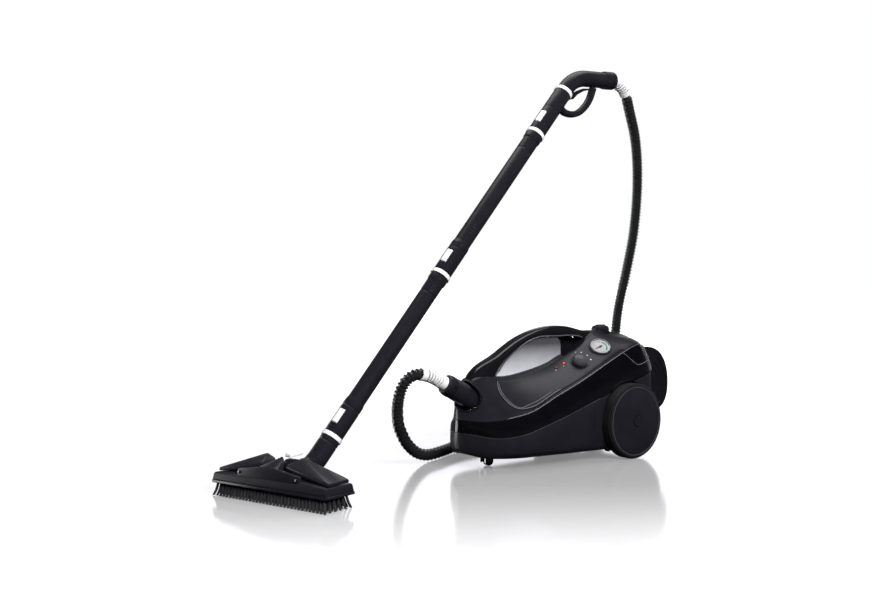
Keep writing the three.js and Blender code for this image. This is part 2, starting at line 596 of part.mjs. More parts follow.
// ---- floor brush ----
function brushTop(margin) {
  const points = [];
  const corners = [[-150, 38, 31], [-143, 34, 46], [-30, 34, 58], [30, 34, 58], [143, 34, 46], [150, 38, 31]];
  corners.forEach(([y, x, z]) => {
    const grown = y + Math.sign(y) * margin;
    points.push([x + margin, grown, z + margin], [-x - margin, grown, z + margin]);
  });
  return hull(points);
}

function wingPoints(side) {
  return [[-20, 30, 62], [-20, 30, 74], [-27, 146, 47.5], [-27, 146, 54], [32, 146, 47.5], [32, 146, 54],
    [12, 48, 88], [32, 44, 62], [30, 45, 76]].map(([x, y, z]) => [x, side * y, z]);
}

function makeBrush() {
  const flange = box(-BRUSH_HALF_WIDTH, BRUSH_HALF_WIDTH, -BRUSH_HALF_LENGTH, BRUSH_HALF_LENGTH,
    BRUSH_FLANGE_Z, 31.5);
  const bay = planPlate([[-24, -26], [60, -54], [60, 54], [-24, 26]], 40, 90);
  addPiece(brush, 'brush_body', cut(join(flange, brushTop(0)), bay), 'satin');
  const bristles = hull([[36, 146, BRUSH_FLANGE_Z - GAP], [44, 157, 0]].flatMap(([x, y, z]) => [
    [x, y, z], [x, -y, z], [-x, y, z], [-x, -y, z]]));
  addPiece(brush, 'bristle_block', bristles, 'rubber');
  const plate = hull([-1, 1].flatMap((side) => [-30, -25.6].flatMap((x) => [
    [x, side * 80, 40], [x, side * 80, 62], [x, side * 24, 70]])));
  const wedge = hull([[-30, -26, 60], [-30, 26, 60], [-30, -26, 69], [-30, 26, 69],
    [-8, -14, 77], [-8, 14, 77], [10, 0, 87], [8, -8, 76], [8, 8, 76], [-10, -20, 64], [-10, 20, 64]]);
  const screws = [-76, 76].map((y) => aim(disc(2.6, -1, 2, 12), [1, 0, 0], [-30, y, 56]));
  addPiece(brush, 'brush_fascia', cut(join(plate, wedge, ...screws), brushTop(GAP)), 'satin');
  addPiece(brush, 'wing_clamp_left', hull(wingPoints(1)), 'satin');
  addPiece(brush, 'wing_clamp_right', hull(wingPoints(-1)), 'satin');
  const cheeks = [-1, 1].map((side) => box(22, 53, side > 0 ? 17 : -21, side > 0 ? 21 : -17, 44, 75));
  const sole = join(disc(21, 40 + GAP, 47), box(0, 53, -21, 21, 40 + GAP, 46));
  const foot = cut(sole, box(43, 60, -16.9, 16.9, 30, 60));
  const base = join(foot, ...cheeks);
  const pin = aim(disc(5, -22, 22), [0, 1, 0], [NECK_REACH, 0, NECK_HEIGHT]);
  addPiece(brush, 'swivel_base', join(base, pin), 'satin');
  const lever = join(box(17, 53, -7, 7, 83, 88), aim(disc(3, -7, 7, 12), [0, 1, 0], [20, 0, 84]));
  addPiece(brush, 'neck_lock_lever', lever, 'white');
}

makeBody();
makeHandle();
makeSocket();
makePlug();
makeControls();
makeFiller();
makeBoiler();
makePlumbing();
makeRear();
makeWheels();
makeCaster();
makeWandTubes();
makeHandlePipe();
makeNeck();
makeHose();
makeBrush();

export default root;
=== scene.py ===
# The looks of a canister steam cleaner with its wand, hose and floor brush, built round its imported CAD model.
import math
import random
import bmesh
import bpy
import numpy as np
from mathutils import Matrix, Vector
from mathutils.bvhtree import BVHTree
from mathutils.geometry import delaunay_2d_cdt


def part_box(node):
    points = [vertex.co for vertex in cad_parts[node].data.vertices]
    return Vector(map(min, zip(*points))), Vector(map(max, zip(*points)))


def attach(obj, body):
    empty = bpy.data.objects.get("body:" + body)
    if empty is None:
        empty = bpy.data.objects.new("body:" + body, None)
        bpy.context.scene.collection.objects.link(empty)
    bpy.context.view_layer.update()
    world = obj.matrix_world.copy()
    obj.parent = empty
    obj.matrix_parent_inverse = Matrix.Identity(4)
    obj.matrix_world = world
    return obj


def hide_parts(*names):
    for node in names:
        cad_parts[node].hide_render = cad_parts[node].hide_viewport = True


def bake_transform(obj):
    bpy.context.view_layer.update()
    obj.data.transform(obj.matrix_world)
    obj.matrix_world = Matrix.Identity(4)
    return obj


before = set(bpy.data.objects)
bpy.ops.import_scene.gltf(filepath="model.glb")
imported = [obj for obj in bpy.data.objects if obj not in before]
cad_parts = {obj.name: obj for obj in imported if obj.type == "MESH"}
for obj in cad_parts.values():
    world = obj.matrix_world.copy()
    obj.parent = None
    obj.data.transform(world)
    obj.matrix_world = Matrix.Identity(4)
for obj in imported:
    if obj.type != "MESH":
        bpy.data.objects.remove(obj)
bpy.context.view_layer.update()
scene = bpy.context.scene
random.seed(7)

# ---- places and sizes, in millimetres from the floor under the middle of the wheel axle ----
MM = 0.001
SHARP = 38
SIDES = (("left", -1), ("right", 1))
axle_low, axle_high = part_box("rear_axle")
ORIGIN = Vector(((axle_low.x + axle_high.x) / 2, (axle_low.y + axle_high.y) / 2, 0))

WHEEL_RADIUS = 90
WHEEL_INNER = 117
ARCH_RADIUS = 93.5
NOSE_TIP = -428.5
REAR_TIP = 134
SIDE_END = 92
SEAM_X = -119
SEAM = 0.35
FILLER_X = 27
PLUG_TILT = math.radians(27)
SOCKET = (-411.7, 0, 169.3)
WAND_LEAN = math.radians(40.1)
WAND_FOOT = Vector((-782, -43.5, 110.7))
RING_STEP = 425.5
GRIP_LENGTH = 138
TUBE_RADIUS = 19.2
SLEEVE_RADIUS = 20.8
RING_RADIUS = 22.5
TUBE_BORE = 13
BUTTON_AT = 41
BUTTON_TURN = math.radians(20)
BRUSH_CENTRE = Vector((-905, -59, 0))
BRUSH_YAW = math.radians(16.8)
BRUSH_HALF_LENGTH = 154
BRUSH_HALF_WIDTH = 42
NECK_REACH = 38
NECK_HEIGHT = 62
HOSE_RADIUS = 12

BAND_FOOT = ((-428, 84), (-372, 75), (-262, 98), (-87, 152), (92, 203), (132, 205))
BAND_TOP = ((-428, 112), (-390, 110), (-340, 118), (-279, 131), (-208, 162), (-139, 189), (24, 256),
            (80, 267), (132, 250))
SHOULDER_SHARE = ((-428, 0.8), (-279, 0.81), (-139, 0.81), (24, 0.76), (92, 0.7), (132, 0.7))
RIDGE = ((-428, 142), (-412, 178), (-395, 200), (-360, 204), (-300, 200), (-240, 207), (-172, 223),
         (-124, 244), (-75, 264), (-45, 284), (-20, 295), (30, 292), (92, 284), (118, 274), (132, 256))
VALLEY_DEPTH = ((-428, -3), (-125, -3), (-112, 14), (-85, 24), (-62, 26), (-46, -2), (132, -3))


def round_angles(count):
    return [2 * math.pi * k / count for k in range(count)]


def at(x, y, z):
    return ORIGIN + Vector((x, y, z)) * MM


def lerp(a, b, t):
    return a + (b - a) * t


def smoothstep(x, low, high):
    t = min(max((x - low) / (high - low), 0), 1)
    return t * t * (3 - 2 * t)


def along(table, x):
    """Smooth value at x of a curve given by (x, value) pairs."""
    last = len(table) - 1
    if x <= table[0][0]:
        return table[0][1]
    if x >= table[last][0]:
        return table[last][1]
    i = max(k for k in range(last) if table[k][0] <= x)

    def slope(a, b):
        return (table[b][1] - table[a][1]) / (table[b][0] - table[a][0])

    m0 = slope(max(i - 1, 0), i + 1)
    m1 = slope(i, min(i + 2, last))
    h = table[i + 1][0] - table[i][0]
    t = (x - table[i][0]) / h
    return ((2 * t**3 - 3 * t**2 + 1) * table[i][1] + (t**3 - 2 * t**2 + t) * h * m0
            + (3 * t**2 - 2 * t**3) * table[i + 1][1] + (t**3 - t**2) * h * m1)


def smooth_curve(points, step):
    """Points equally spaced along a centripetal Catmull-Rom curve through `points`."""
    p = [Vector(q) for q in points]
    p = [2 * p[0] - p[1]] + p + [2 * p[-1] - p[-2]]
    dense = []
    for a, b, c, d in zip(p, p[1:], p[2:], p[3:]):
        t1 = max((b - a).length, 1e-6) ** 0.5
        t2 = t1 + max((c - b).length, 1e-6) ** 0.5
        t3 = t2 + max((d - c).length, 1e-6) ** 0.5
        for k in range(12):
            t = lerp(t1, t2, k / 12)
            a1 = a * ((t1 - t) / t1) + b * (t / t1)
            a2 = b * ((t2 - t) / (t2 - t1)) + c * ((t - t1) / (t2 - t1))
            a3 = c * ((t3 - t) / (t3 - t2)) + d * ((t - t2) / (t3 - t2))
            b1 = a1 * ((t2 - t) / t2) + a2 * (t / t2)
            b2 = a2 * ((t3 - t) / (t3 - t1)) + a3 * ((t - t1) / (t3 - t1))
            dense.append(b1 * ((t2 - t) / (t2 - t1)) + b2 * ((t - t1) / (t2 - t1)))
    dense.append(p[-2])
    return evenly(dense, step)


def evenly(points, step):
    """The polyline's points moved to equal steps along it, its two ends kept."""
    p = np.array([list(q) for q in points], float)
    s = np.concatenate([[0], np.cumsum(np.linalg.norm(np.diff(p, axis=0), axis=1))])
    count = max(int(round(s[-1] / step)), 2)
    t = np.linspace(0, s[-1], count + 1)
    return [Vector([np.interp(v, s, p[:, k]) for k in range(p.shape[1])]) for v in t]


def path_length(path):
    return sum((b - a).length for a, b in zip(path, path[1:]))


def filleted(points, radius, steps=3):
    """An open profile of (r, h) points with its inner corners rounded."""
    p = [Vector(q) for q in points]
    result = [p[0]]
    for a, b, c in zip(p, p[1:], p[2:]):
        reach = min(radius, (a - b).length * 0.45, (c - b).length * 0.45)
        start = b + (a - b).normalized() * reach
        end = b + (c - b).normalized() * reach
        for k in range(steps + 1):
            t = k / steps
            result.append(start * (1 - t) ** 2 + b * 2 * t * (1 - t) + end * t**2)
    result.append(p[-1])
    return result


# ---- materials ----
def add_node(tree, kind, **inputs):
    node = tree.nodes.new(kind)
    for name, value in inputs.items():
        node.inputs[name.replace("_", " ")].default_value = value
    return node


def map_range(tree, value, low, high, out_low=0.0, out_high=1.0, smooth=False):
    """The socket `value` taken from one range to another."""
    node = add_node(tree, "ShaderNodeMapRange", From_Min=low, From_Max=high, To_Min=out_low, To_Max=out_high)
    if smooth:
        node.interpolation_type = "SMOOTHSTEP"
    tree.links.new(value, node.inputs["Value"])
    return node.outputs["Result"]


def color_ramp(tree, value, *stops):
    """A colour for the socket `value` from (position, colour) stops; the ends come first."""
    node = tree.nodes.new("ShaderNodeValToRGB")
    elements = node.color_ramp.elements
    for i, (position, color) in enumerate(stops):
        element = elements[i] if i < 2 else elements.new(position)
        element.position = position
        element.color = (*color, 1)
    tree.links.new(value, node.inputs["Fac"])
    return node


def grey(level):
    return (level, level, level)


def coordinates(tree, kind="Object"):
    return tree.nodes.new("ShaderNodeTexCoord").outputs[kind]


def make_material(name, tones, rough, grain=0.0, grain_size=0.5, metallic=0.0, coat=0.0,
                  specular=0.5, stretch=(1, 1, 1), patch=30.0, spread=0.06):
    """Two close tones in soft patches, a varied roughness and a fine grain in the bump."""
    material = bpy.data.materials.new(name)
    material.use_nodes = True
    tree = material.node_tree
    shader = tree.nodes["Principled BSDF"]
    for socket, value in (("Metallic", metallic), ("Coat Weight", coat), ("Coat Roughness", 0.04),
                          ("Specular IOR Level", specular)):
        shader.inputs[socket].default_value = value
    mapping = add_node(tree, "ShaderNodeMapping", Scale=stretch)
    tree.links.new(coordinates(tree), mapping.inputs["Vector"])
    patches = add_node(tree, "ShaderNodeTexNoise", Scale=patch, Detail=3.0, Roughness=0.55)
    fine = add_node(tree, "ShaderNodeTexNoise", Scale=1 / (grain_size * MM), Detail=2.0, Roughness=0.6)
    for noise in (patches, fine):
        tree.links.new(mapping.outputs["Vector"], noise.inputs["Vector"])
    ramp = color_ramp(tree, patches.outputs["Fac"], (0.35, tones[0]), (0.65, tones[1]))
    tree.links.new(ramp.outputs["Color"], shader.inputs["Base Color"])
    roughness = map_range(tree, fine.outputs["Fac"], 0.3, 0.7, max(rough - spread, 0.02), rough + spread)
    tree.links.new(roughness, shader.inputs["Roughness"])
    if grain:
        bump = add_node(tree, "ShaderNodeBump", Strength=grain, Distance=grain_size * MM * 0.4)
        tree.links.new(fine.outputs["Fac"], bump.inputs["Height"])
        tree.links.new(bump.outputs["Normal"], shader.inputs["Normal"])
    return material


def make_glass():
    material = bpy.data.materials.new("clear_lens")
    material.use_nodes = True
    tree = material.node_tree
    shader = tree.nodes["Principled BSDF"]
    shader.inputs["Transmission Weight"].default_value = 1.0
    shader.inputs["IOR"].default_value = 1.2
    haze = add_node(tree, "ShaderNodeTexNoise", Scale=60.0, Detail=2.0)
    tree.links.new(map_range(tree, haze.outputs["Fac"], 0, 1, 0, 0.05), shader.inputs["Roughness"])
    return material


SATIN = make_material("satin_black", ((0.0105, 0.0100, 0.0142), (0.0130, 0.0124, 0.0172)), 0.36, 0.1, 0.45)
DARK = make_material("dark_black", ((0.006, 0.006, 0.007), (0.008, 0.008, 0.009)), 0.5, 0.3, 0.5)
GLOSS = make_material("gloss_black", ((0.0022, 0.0022, 0.003), (0.003, 0.003, 0.004)), 0.09, coat=0.25,
                      specular=0.35, spread=0.01)
GREY = make_material("panel_grey", ((0.16, 0.16, 0.175), (0.18, 0.18, 0.195)), 0.3, 0.08, 0.4, spread=0.03)
WHITE = make_material("white_plastic", ((0.80, 0.80, 0.80), (0.86, 0.86, 0.86)), 0.38, 0.12, 0.5)
RUBBER = make_material("soft_black", ((0.007, 0.007, 0.008), (0.010, 0.010, 0.011)), 0.6, 0.15, 0.7)
HOSE = make_material("hose_rubber", ((0.012, 0.012, 0.013), (0.016, 0.016, 0.017)), 0.22, coat=0.4,
                     spread=0.03)
BRISTLE = make_material("bristle", ((0.026, 0.026, 0.029), (0.042, 0.042, 0.047)), 0.32, patch=200.0)
STEEL = make_material("steel", ((0.52, 0.52, 0.53), (0.60, 0.60, 0.61)), 0.28, 0.2, 0.4, 1.0,
                      stretch=(1, 1, 12))
CHROME = make_material("chrome", ((0.72, 0.72, 0.73), (0.78, 0.78, 0.79)), 0.1, metallic=1.0, spread=0.03)
BRASS = make_material("brass", ((0.56, 0.40, 0.17), (0.64, 0.47, 0.22)), 0.3, 0.2, 0.5, 1.0)
ALLOY = make_material("alloy", ((0.60, 0.60, 0.62), (0.68, 0.68, 0.70)), 0.42, 0.4, 0.7, 1.0)
# silver for the beads that stand in for highlights along edges: painted highlights
HIGHLIGHT_SILVER = make_material("silver_highlight", ((0.42, 0.42, 0.45), (0.5, 0.5, 0.53)), 0.24, metallic=0.8, spread=0.04)
LAMP_ON = make_material("lamp_red", ((0.72, 0.03, 0.015), (0.8, 0.05, 0.02)), 0.16, coat=0.8, spread=0.02)
LAMP_OFF = make_material("lamp_dark_red", ((0.10, 0.006, 0.01), (0.14, 0.01, 0.014)), 0.16, coat=0.8,
                         spread=0.02)
BOARD = make_material("board_green", ((0.015, 0.12, 0.05), (0.02, 0.16, 0.07)), 0.45, 0.2, 0.8)
DIAL = make_material("dial_white", ((0.82, 0.82, 0.82), (0.86, 0.86, 0.86)), 0.45, 0.05, 0.4)
GREEN = make_material("dial_green", ((0.04, 0.42, 0.24), (0.05, 0.48, 0.28)), 0.45, 0.05, 0.4)
RED = make_material("dial_red", ((0.6, 0.04, 0.03), (0.66, 0.05, 0.04)), 0.45, 0.05, 0.4)
LENS = make_glass()


# ---- making meshes ----
def mesh_object(name, points, faces, sharp=SHARP):
    """A mesh from points in millimetres, shaded smooth but for its sharp edges."""
    mesh = bpy.data.meshes.new(name)
    mesh.from_pydata([at(*p) for p in points], [], faces)
    return tidy_object(name, mesh, sharp)


def tidy_object(name, mesh, sharp=SHARP):
    work = bmesh.new()
    work.from_mesh(mesh)
    bmesh.ops.remove_doubles(work, verts=work.verts, dist=1e-6)
    bmesh.ops.recalc_face_normals(work, faces=work.faces)
    work.to_mesh(mesh)
    work.free()
    mesh.validate()
    mesh.shade_smooth()
    mesh.set_sharp_from_angle(angle=math.radians(sharp))
    obj = bpy.data.objects.new(name, mesh)
    scene.collection.objects.link(obj)
    return obj


SLOT_OF = {"dark_black": "satin_black", "knob_black": "satin_black", "polished_black": "satin_black",
           "silver_highlight": "chrome", "clear_lens": "chrome", "inset_grey": "panel_grey",
           "dial_white": "white_plastic", "dial_green": "board_green", "dial_red": "lamp_red"}


def show(obj, body, material, *nodes):
    """Gives the piece its material and its body, and hides the CAD nodes that it stands for."""
    obj.data.materials.clear()
    obj.data.materials.append(material)
    look = material.name.split(".")[0]
    SLOT_OF.get(look, look)
    if nodes:
        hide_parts(*nodes)
    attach(obj, body)
    return obj


def loft(name, rings, closed=False, sharp=SHARP, caps=(True, True)):
    """Quads between rings of equal length; the ends get flat caps, or the rings close on themselves."""
    count = len(rings[0])
    points = [p for ring in rings for p in ring]
    faces = []
    spans = len(rings) if closed else len(rings) - 1
    for i in range(spans):
        a = i * count
        b = ((i + 1) % len(rings)) * count
        for k in range(count):
            n = (k + 1) % count
            faces.append((a + k, a + n, b + n, b + k))
    if caps[0] and not closed:
        faces.append(tuple(reversed(range(count))))
    if caps[1] and not closed:
        faces.append(tuple(range(len(points) - count, len(points))))
    return mesh_object(name, points, faces, sharp)


def turned(name, profile, origin=(0, 0, 0), axis=(0, 0, 1), segments=64, fillet=0.6, sharp=SHARP):
    """A round piece about `axis` from (radius, height) points; it may start and end on the axis."""
    turn = Vector((0, 0, 1)).rotation_difference(Vector(axis).normalized())
    base = Vector(origin)
    rings = []
    for r, h in filleted(profile, fillet):
        radius = max(r, 1e-4)
        rings.append([base + turn @ Vector((radius * math.cos(a), radius * math.sin(a), h))
                      for a in round_angles(segments)])
    if (Vector(profile[0]) - Vector(profile[-1])).length < 1e-6:
        return loft(name, rings[:-1], True, sharp)
    return loft(name, rings, False, sharp, (profile[0][0] > 0, profile[-1][0] > 0))


def oblong(middle, normal, half_y, half, power, count):
    """A rounded oblong ring across an upright bar, `half_y` to each side and `half` along `normal`."""
    ring = []
    for a in round_angles(count):
        c, s = math.cos(a), math.sin(a)
        wide = half_y * math.copysign(abs(c) ** (2 / power), c)
        high = half * math.copysign(abs(s) ** (2 / power), s)
        ring.append(middle + Vector((0, wide, 0)) + normal * high)
    return ring


def frames(path):
    """Tangent and two side directions at each point, turned as little as possible along the path."""
    result = []
    side = None
    for i in range(len(path)):
        tangent = (path[min(i + 1, len(path) - 1)] - path[max(i - 1, 0)]).normalized()
        if side is None:
            guess = Vector((0, 1, 0)) if abs(tangent.y) < 0.8 else Vector((0, 0, 1))
            side = guess.cross(tangent).normalized()
        side = (side - tangent * side.dot(tangent)).normalized()
        result.append((tangent, side, tangent.cross(side)))
    return result


def swept(name, path, radius, sides=20, sharp=SHARP):
    """A round bar along `path`; `radius` gives the radius at a distance along it."""
    rings = []
    walked = 0.0
    for i, (point, (_, u, v)) in enumerate(zip(path, frames(path))):
        if i:
            walked += (path[i] - path[i - 1]).length
        r = radius(walked)
        rings.append([point + (u * math.cos(a) + v * math.sin(a)) * r for a in round_angles(sides)])
    return loft(name, rings, False, sharp)


def carved(name, points, bevel=1.5, segments=3, sharp=SHARP, move=None):
    """The hull of the points with its edges rounded."""
    work = bmesh.new()
    for p in points:
        work.verts.new(p)
    bmesh.ops.convex_hull(work, input=work.verts)
    bmesh.ops.delete(work, geom=[v for v in work.verts if not v.link_faces], context="VERTS")
    bmesh.ops.dissolve_limit(work, angle_limit=math.radians(2), verts=work.verts, edges=work.edges)
    if bevel:
        bmesh.ops.bevel(work, geom=work.edges[:], offset=bevel, segments=segments, profile=0.5,
                        affect="EDGES", clamp_overlap=True)
    for v in work.verts:
        v.co = at(*(move(v.co) if move else v.co))
    mesh = bpy.data.meshes.new(name)
    work.to_mesh(mesh)
    work.free()
    return tidy_object(name, mesh, sharp)


def block(name, x0, x1, y0, y1, z0, z1, bevel=1.5, move=None, segments=3):
    corners = [(x, y, z) for x in (x0, x1) for y in (y0, y1) for z in (z0, z1)]
    return carved(name, corners, bevel, segments, move=move)


def applied(obj):
    """The object with its modifiers worked into its mesh."""
    bpy.context.view_layer.update()
    mesh = bpy.data.meshes.new_from_object(obj.evaluated_get(bpy.context.evaluated_depsgraph_get()))
    obj.modifiers.clear()
    obj.data = mesh
    mesh.shade_smooth()
    mesh.set_sharp_from_angle(angle=math.radians(SHARP))
    return obj


def boolean(obj, tool):
    """Cuts `tool` out of `obj` and removes the tool."""
    modifier = obj.modifiers.new("boolean", "BOOLEAN")
    modifier.operation = "DIFFERENCE"
    modifier.solver = "EXACT"
    modifier.object = tool
    applied(obj)
    bpy.data.objects.remove(tool)
    return obj


def merged(name, objects):
    """One object from several, each still its own closed solid."""
    work = bmesh.new()
    for obj in objects:
        work.from_mesh(obj.data)
        bpy.data.objects.remove(obj)
    mesh = bpy.data.meshes.new(name)
    work.to_mesh(mesh)
    work.free()
    mesh.shade_smooth()
    mesh.set_sharp_from_angle(angle=math.radians(SHARP))
    obj = bpy.data.objects.new(name, mesh)
    scene.collection.objects.link(obj)
    return obj


# ---- the machine's outer form ----
def half_width(x):
    if x < -300:
        return 118 * max(1 - ((-300 - x) / 128.5) ** 2, 0) ** 0.7
    if x < -150:
        return 118 + 6 * smoothstep(x, -300, -150)
    if x < 40:
        return 124
    return 124 * max(1 - ((x - 40) / 94) ** 2.6, 0) ** 0.5


def floor_line(x):
    if x < -380:
        return 28 + 17 * ((-380 - x) / 48) ** 2
    return lerp(28, 20, (x + 380) / 472) if x < 92 else 20 + 24 * ((x - 92) / 40) ** 2


BASE_I, FOOT_I, TOP_I, MIDDLE_I = 3, 5, 7, 12
SAMPLES = 12


def section_points(x):
    """Half outline of the body at x, from the floor's middle round to the ridge's middle."""
    w = half_width(x)
    low = floor_line(x)
    foot = along(BAND_FOOT, x)
    top = along(BAND_TOP, x)
    shoulder = w * along(SHOULDER_SHARE, x)
    ridge = along(RIDGE, x)
    valley = ridge - along(VALLEY_DEPTH, x)
    ridge_y = min(22, shoulder * 0.6)
    bulge = 3 * min(1, w / 60)
    return [(0, low), (0.4 * w, low), (0.8 * w, low), (0.95 * w, low + 10), (w, (low + foot) / 2),
            (0.985 * w, foot), (0.5 * (0.985 * w + shoulder) + bulge, 0.5 * (foot + top) + bulge),
            (shoulder, top), (0.5 * (shoulder + ridge_y), 0.5 * (top + ridge) + 4), (ridge_y, ridge),
            (0.75 * ridge_y, valley), (0.35 * ridge_y, valley), (0, valley)]


def section_curve(x):
    """The section as an array of (y, z), with SAMPLES points for each stretch between its corners."""
    p = [Vector(q) for q in section_points(x)]
    p = [Vector((-p[1].x, p[1].y))] + p + [Vector((-p[-2].x, p[-2].y))]
    t = [0.0]
    for a, b in zip(p, p[1:]):
        t.append(t[-1] + max((b - a).length, 0.05))
    result = []
    for i in range(1, len(p) - 2):
        h = t[i + 1] - t[i]
        m0 = (p[i + 1] - p[i - 1]) / (t[i + 1] - t[i - 1]) * h
        m1 = (p[i + 2] - p[i]) / (t[i + 2] - t[i]) * h
        for k in range(SAMPLES):
            s = k / SAMPLES
            q = (p[i] * (2 * s**3 - 3 * s**2 + 1) + m0 * (s**3 - 2 * s**2 + s)
                 + p[i + 1] * (3 * s**2 - 2 * s**3) + m1 * (s**3 - s**2))
            result.append((max(q.x, 0), q.y))
    result.append(tuple(p[-2]))
    return np.array(result)


def stations():
    nose = [NOSE_TIP + 30 * (k / 24) ** 2 for k in range(24)]
    middle = list(np.arange(NOSE_TIP + 30, REAR_TIP - 30, 3.0))
    rear = [REAR_TIP - 30 * (k / 24) ** 2 for k in range(24, -1, -1)]
    return np.array(nose + middle + rear)


STATIONS = stations()
CURVES = np.array([section_curve(x) for x in STATIONS])
WIDTHS = np.array([half_width(x) for x in STATIONS])
PLAN_LENGTH = np.concatenate([[0], np.cumsum(np.hypot(np.diff(STATIONS), np.diff(WIDTHS)))])


def between_stations(x, value):
    i = int(np.clip(np.searchsorted(STATIONS, x) - 1, 0, len(STATIONS) - 2))
    t = (x - STATIONS[i]) / (STATIONS[i + 1] - STATIONS[i])
    return lerp(value(CURVES[i]), value(CURVES[i + 1]), min(max(t, 0), 1))


def wall(p, z):
    """A point on the side wall: p is the distance round the plan from the nose, negative on the near side."""
    x = float(np.interp(abs(p), PLAN_LENGTH, STATIONS))
    low = BASE_I * SAMPLES - 6
    high = TOP_I * SAMPLES + 1
    y = between_stations(x, lambda c: np.interp(z, c[low:high, 1], c[low:high, 0]))
    return Vector((x, math.copysign(y, p), z))


def roof(x, y):
    first = TOP_I * SAMPLES
    z = between_stations(x, lambda c: np.interp(abs(y), c[first:, 0][::-1], c[first:, 1][::-1]))
    return Vector((x, y, z))


def corner(x, index):
    """Half width and height of the body at x, at one of its side lines."""
    y, z = between_stations(x, lambda c: c[index * SAMPLES])
    return float(y), float(z)


def round_plan(x):
    """Distance round the plan from the nose to the station at x."""
    return float(np.interp(x, STATIONS, PLAN_LENGTH))


def normal_at(surface, u, v, outward):
    d = 1.2
    n = (surface(u + d, v) - surface(u - d, v)).cross(surface(u, v + d) - surface(u, v - d))
    if n.length < 1e-9:
        return Vector(outward).normalized()
    n.normalize()
    return -n if n.dot(Vector(outward)) < 0 else n


# ---- panels: a smooth skin inside an outline, with a rounded rim and its own thickness ----
def inside(points, loops):
    """For each point, whether it lies inside the outline and outside its holes."""
    p = np.array(points, float)
    hit = np.zeros(len(p), bool)
    for loop in loops:
        a = np.array(loop, float)
        b = np.roll(a, -1, axis=0)
        for (x0, y0), (x1, y1) in zip(a, b):
            crosses = (y0 > p[:, 1]) != (y1 > p[:, 1])
            if y1 != y0:
                hit ^= crosses & (p[:, 0] < (x1 - x0) * (p[:, 1] - y0) / (y1 - y0) + x0)
    return hit


def offset(loop, distance):
    """The closed loop moved to its left side by `distance`."""
    a = np.array(loop, float)
    e0 = a - np.roll(a, 1, axis=0)
    e1 = np.roll(a, -1, axis=0) - a
    n0 = np.stack([-e0[:, 1], e0[:, 0]], 1) / np.maximum(np.linalg.norm(e0, axis=1), 1e-9)[:, None]
    n1 = np.stack([-e1[:, 1], e1[:, 0]], 1) / np.maximum(np.linalg.norm(e1, axis=1), 1e-9)[:, None]
    n = n0 + n1
    n /= np.maximum(np.linalg.norm(n, axis=1), 1e-9)[:, None]
    stretch = 1 / np.clip((n * n0).sum(1), 0.5, 1)
    return a + n * (distance * stretch)[:, None]


def turned_left(loop, left):
    a = np.array(loop, float)
    b = np.roll(a, -1, axis=0)
    area = (a[:, 0] * b[:, 1] - a[:, 1] * b[:, 0]).sum()
    return a if (area > 0) == left else a[::-1]


def closed_evenly(loop, step):
    """The loop's points closed up to at most `step` apart, its own points kept."""
    result = []
    for a, b in zip(loop, list(loop[1:]) + [loop[0]]):
        a, b = Vector(a), Vector(b)
        count = max(int(math.ceil((b - a).length / step)), 1)
        result += [a.lerp(b, k / count) for k in range(count)]
    return [tuple(q) for q in result]


def panel(name, outline, surface, outward, holes=(), spacing=5.0, edge=0.9, depth=3.0, proud=0.0):
    """A closed sheet that follows `surface` inside `outline`, its rim rounded and its face `proud` of it."""
    loops = [turned_left(closed_evenly(outline, spacing * 0.7), True)]
    loops += [turned_left(closed_evenly(hole, spacing * 0.7), False) for hole in holes]
    levels = [(0.0, depth)]
    levels += [(edge * (1 - math.cos(a)), edge * (1 - math.sin(a))) for a in np.radians((0, 30, 60, 90))]
    rims = [[offset(loop, out) for loop in loops] for out, _ in levels]
    inner = [tuple(q) for loop in rims[-1] for q in loop]
    low = loops[0].min(0)
    high = loops[0].max(0)
    grid = [(u + (k % 2) * spacing / 2, v) for k, v in enumerate(np.arange(low[1], high[1], spacing * 0.87))
            for u in np.arange(low[0], high[0], spacing)]
    keep = inside(grid, [offset(loop, edge + spacing * 0.45) for loop in loops])
    fill = [q for q, ok in zip(grid, keep) if ok]
    edges = []
    first = 0
    for loop in rims[-1]:
        edges += [(first + k, first + (k + 1) % len(loop)) for k in range(len(loop))]
        first += len(loop)
    flat, _, tris, source, _, _ = delaunay_2d_cdt([Vector(q) for q in inner + fill], edges, [], 0, 1e-5)
    good = inside([tuple(sum((flat[i] for i in t), Vector((0, 0))) / 3) for t in tris], rims[-1])
    points = []

    def lift(q, down):
        spot = surface(*q)
        way = normal_at(surface, q[0], q[1], outward(spot) if callable(outward) else outward)
        points.append(spot + way * (proud - down))
        return len(points) - 1

    ring_ids = [[lift(q, down) for loop in rim for q in loop] for rim, (_, down) in zip(rims, levels)]
    top, bottom = {}, {}
    for i, q in enumerate(flat):
        first_source = source[i][0] if source[i] else len(inner)
        if first_source < len(inner):
            top[i], bottom[i] = ring_ids[-1][first_source], ring_ids[0][first_source]
        else:
            top[i], bottom[i] = lift(q, 0), lift(q, depth)
    faces = []
    for t, ok in zip(tris, good):
        if ok:
            faces.append(tuple(top[i] for i in t))
            faces.append(tuple(bottom[i] for i in reversed(t)))
    first = 0
    for loop in loops:
        count = len(loop)
        for a, b in zip(ring_ids, ring_ids[1:]):
            for k in range(count):
                n = first + (k + 1) % count
                faces.append((a[first + k], a[n], b[n], b[first + k]))
        first += count
    used = sorted({i for f in faces for i in f})
    renumber = {i: k for k, i in enumerate(used)}
    return mesh_object(name, [points[i] for i in used], [tuple(renumber[i] for i in f) for f in faces])


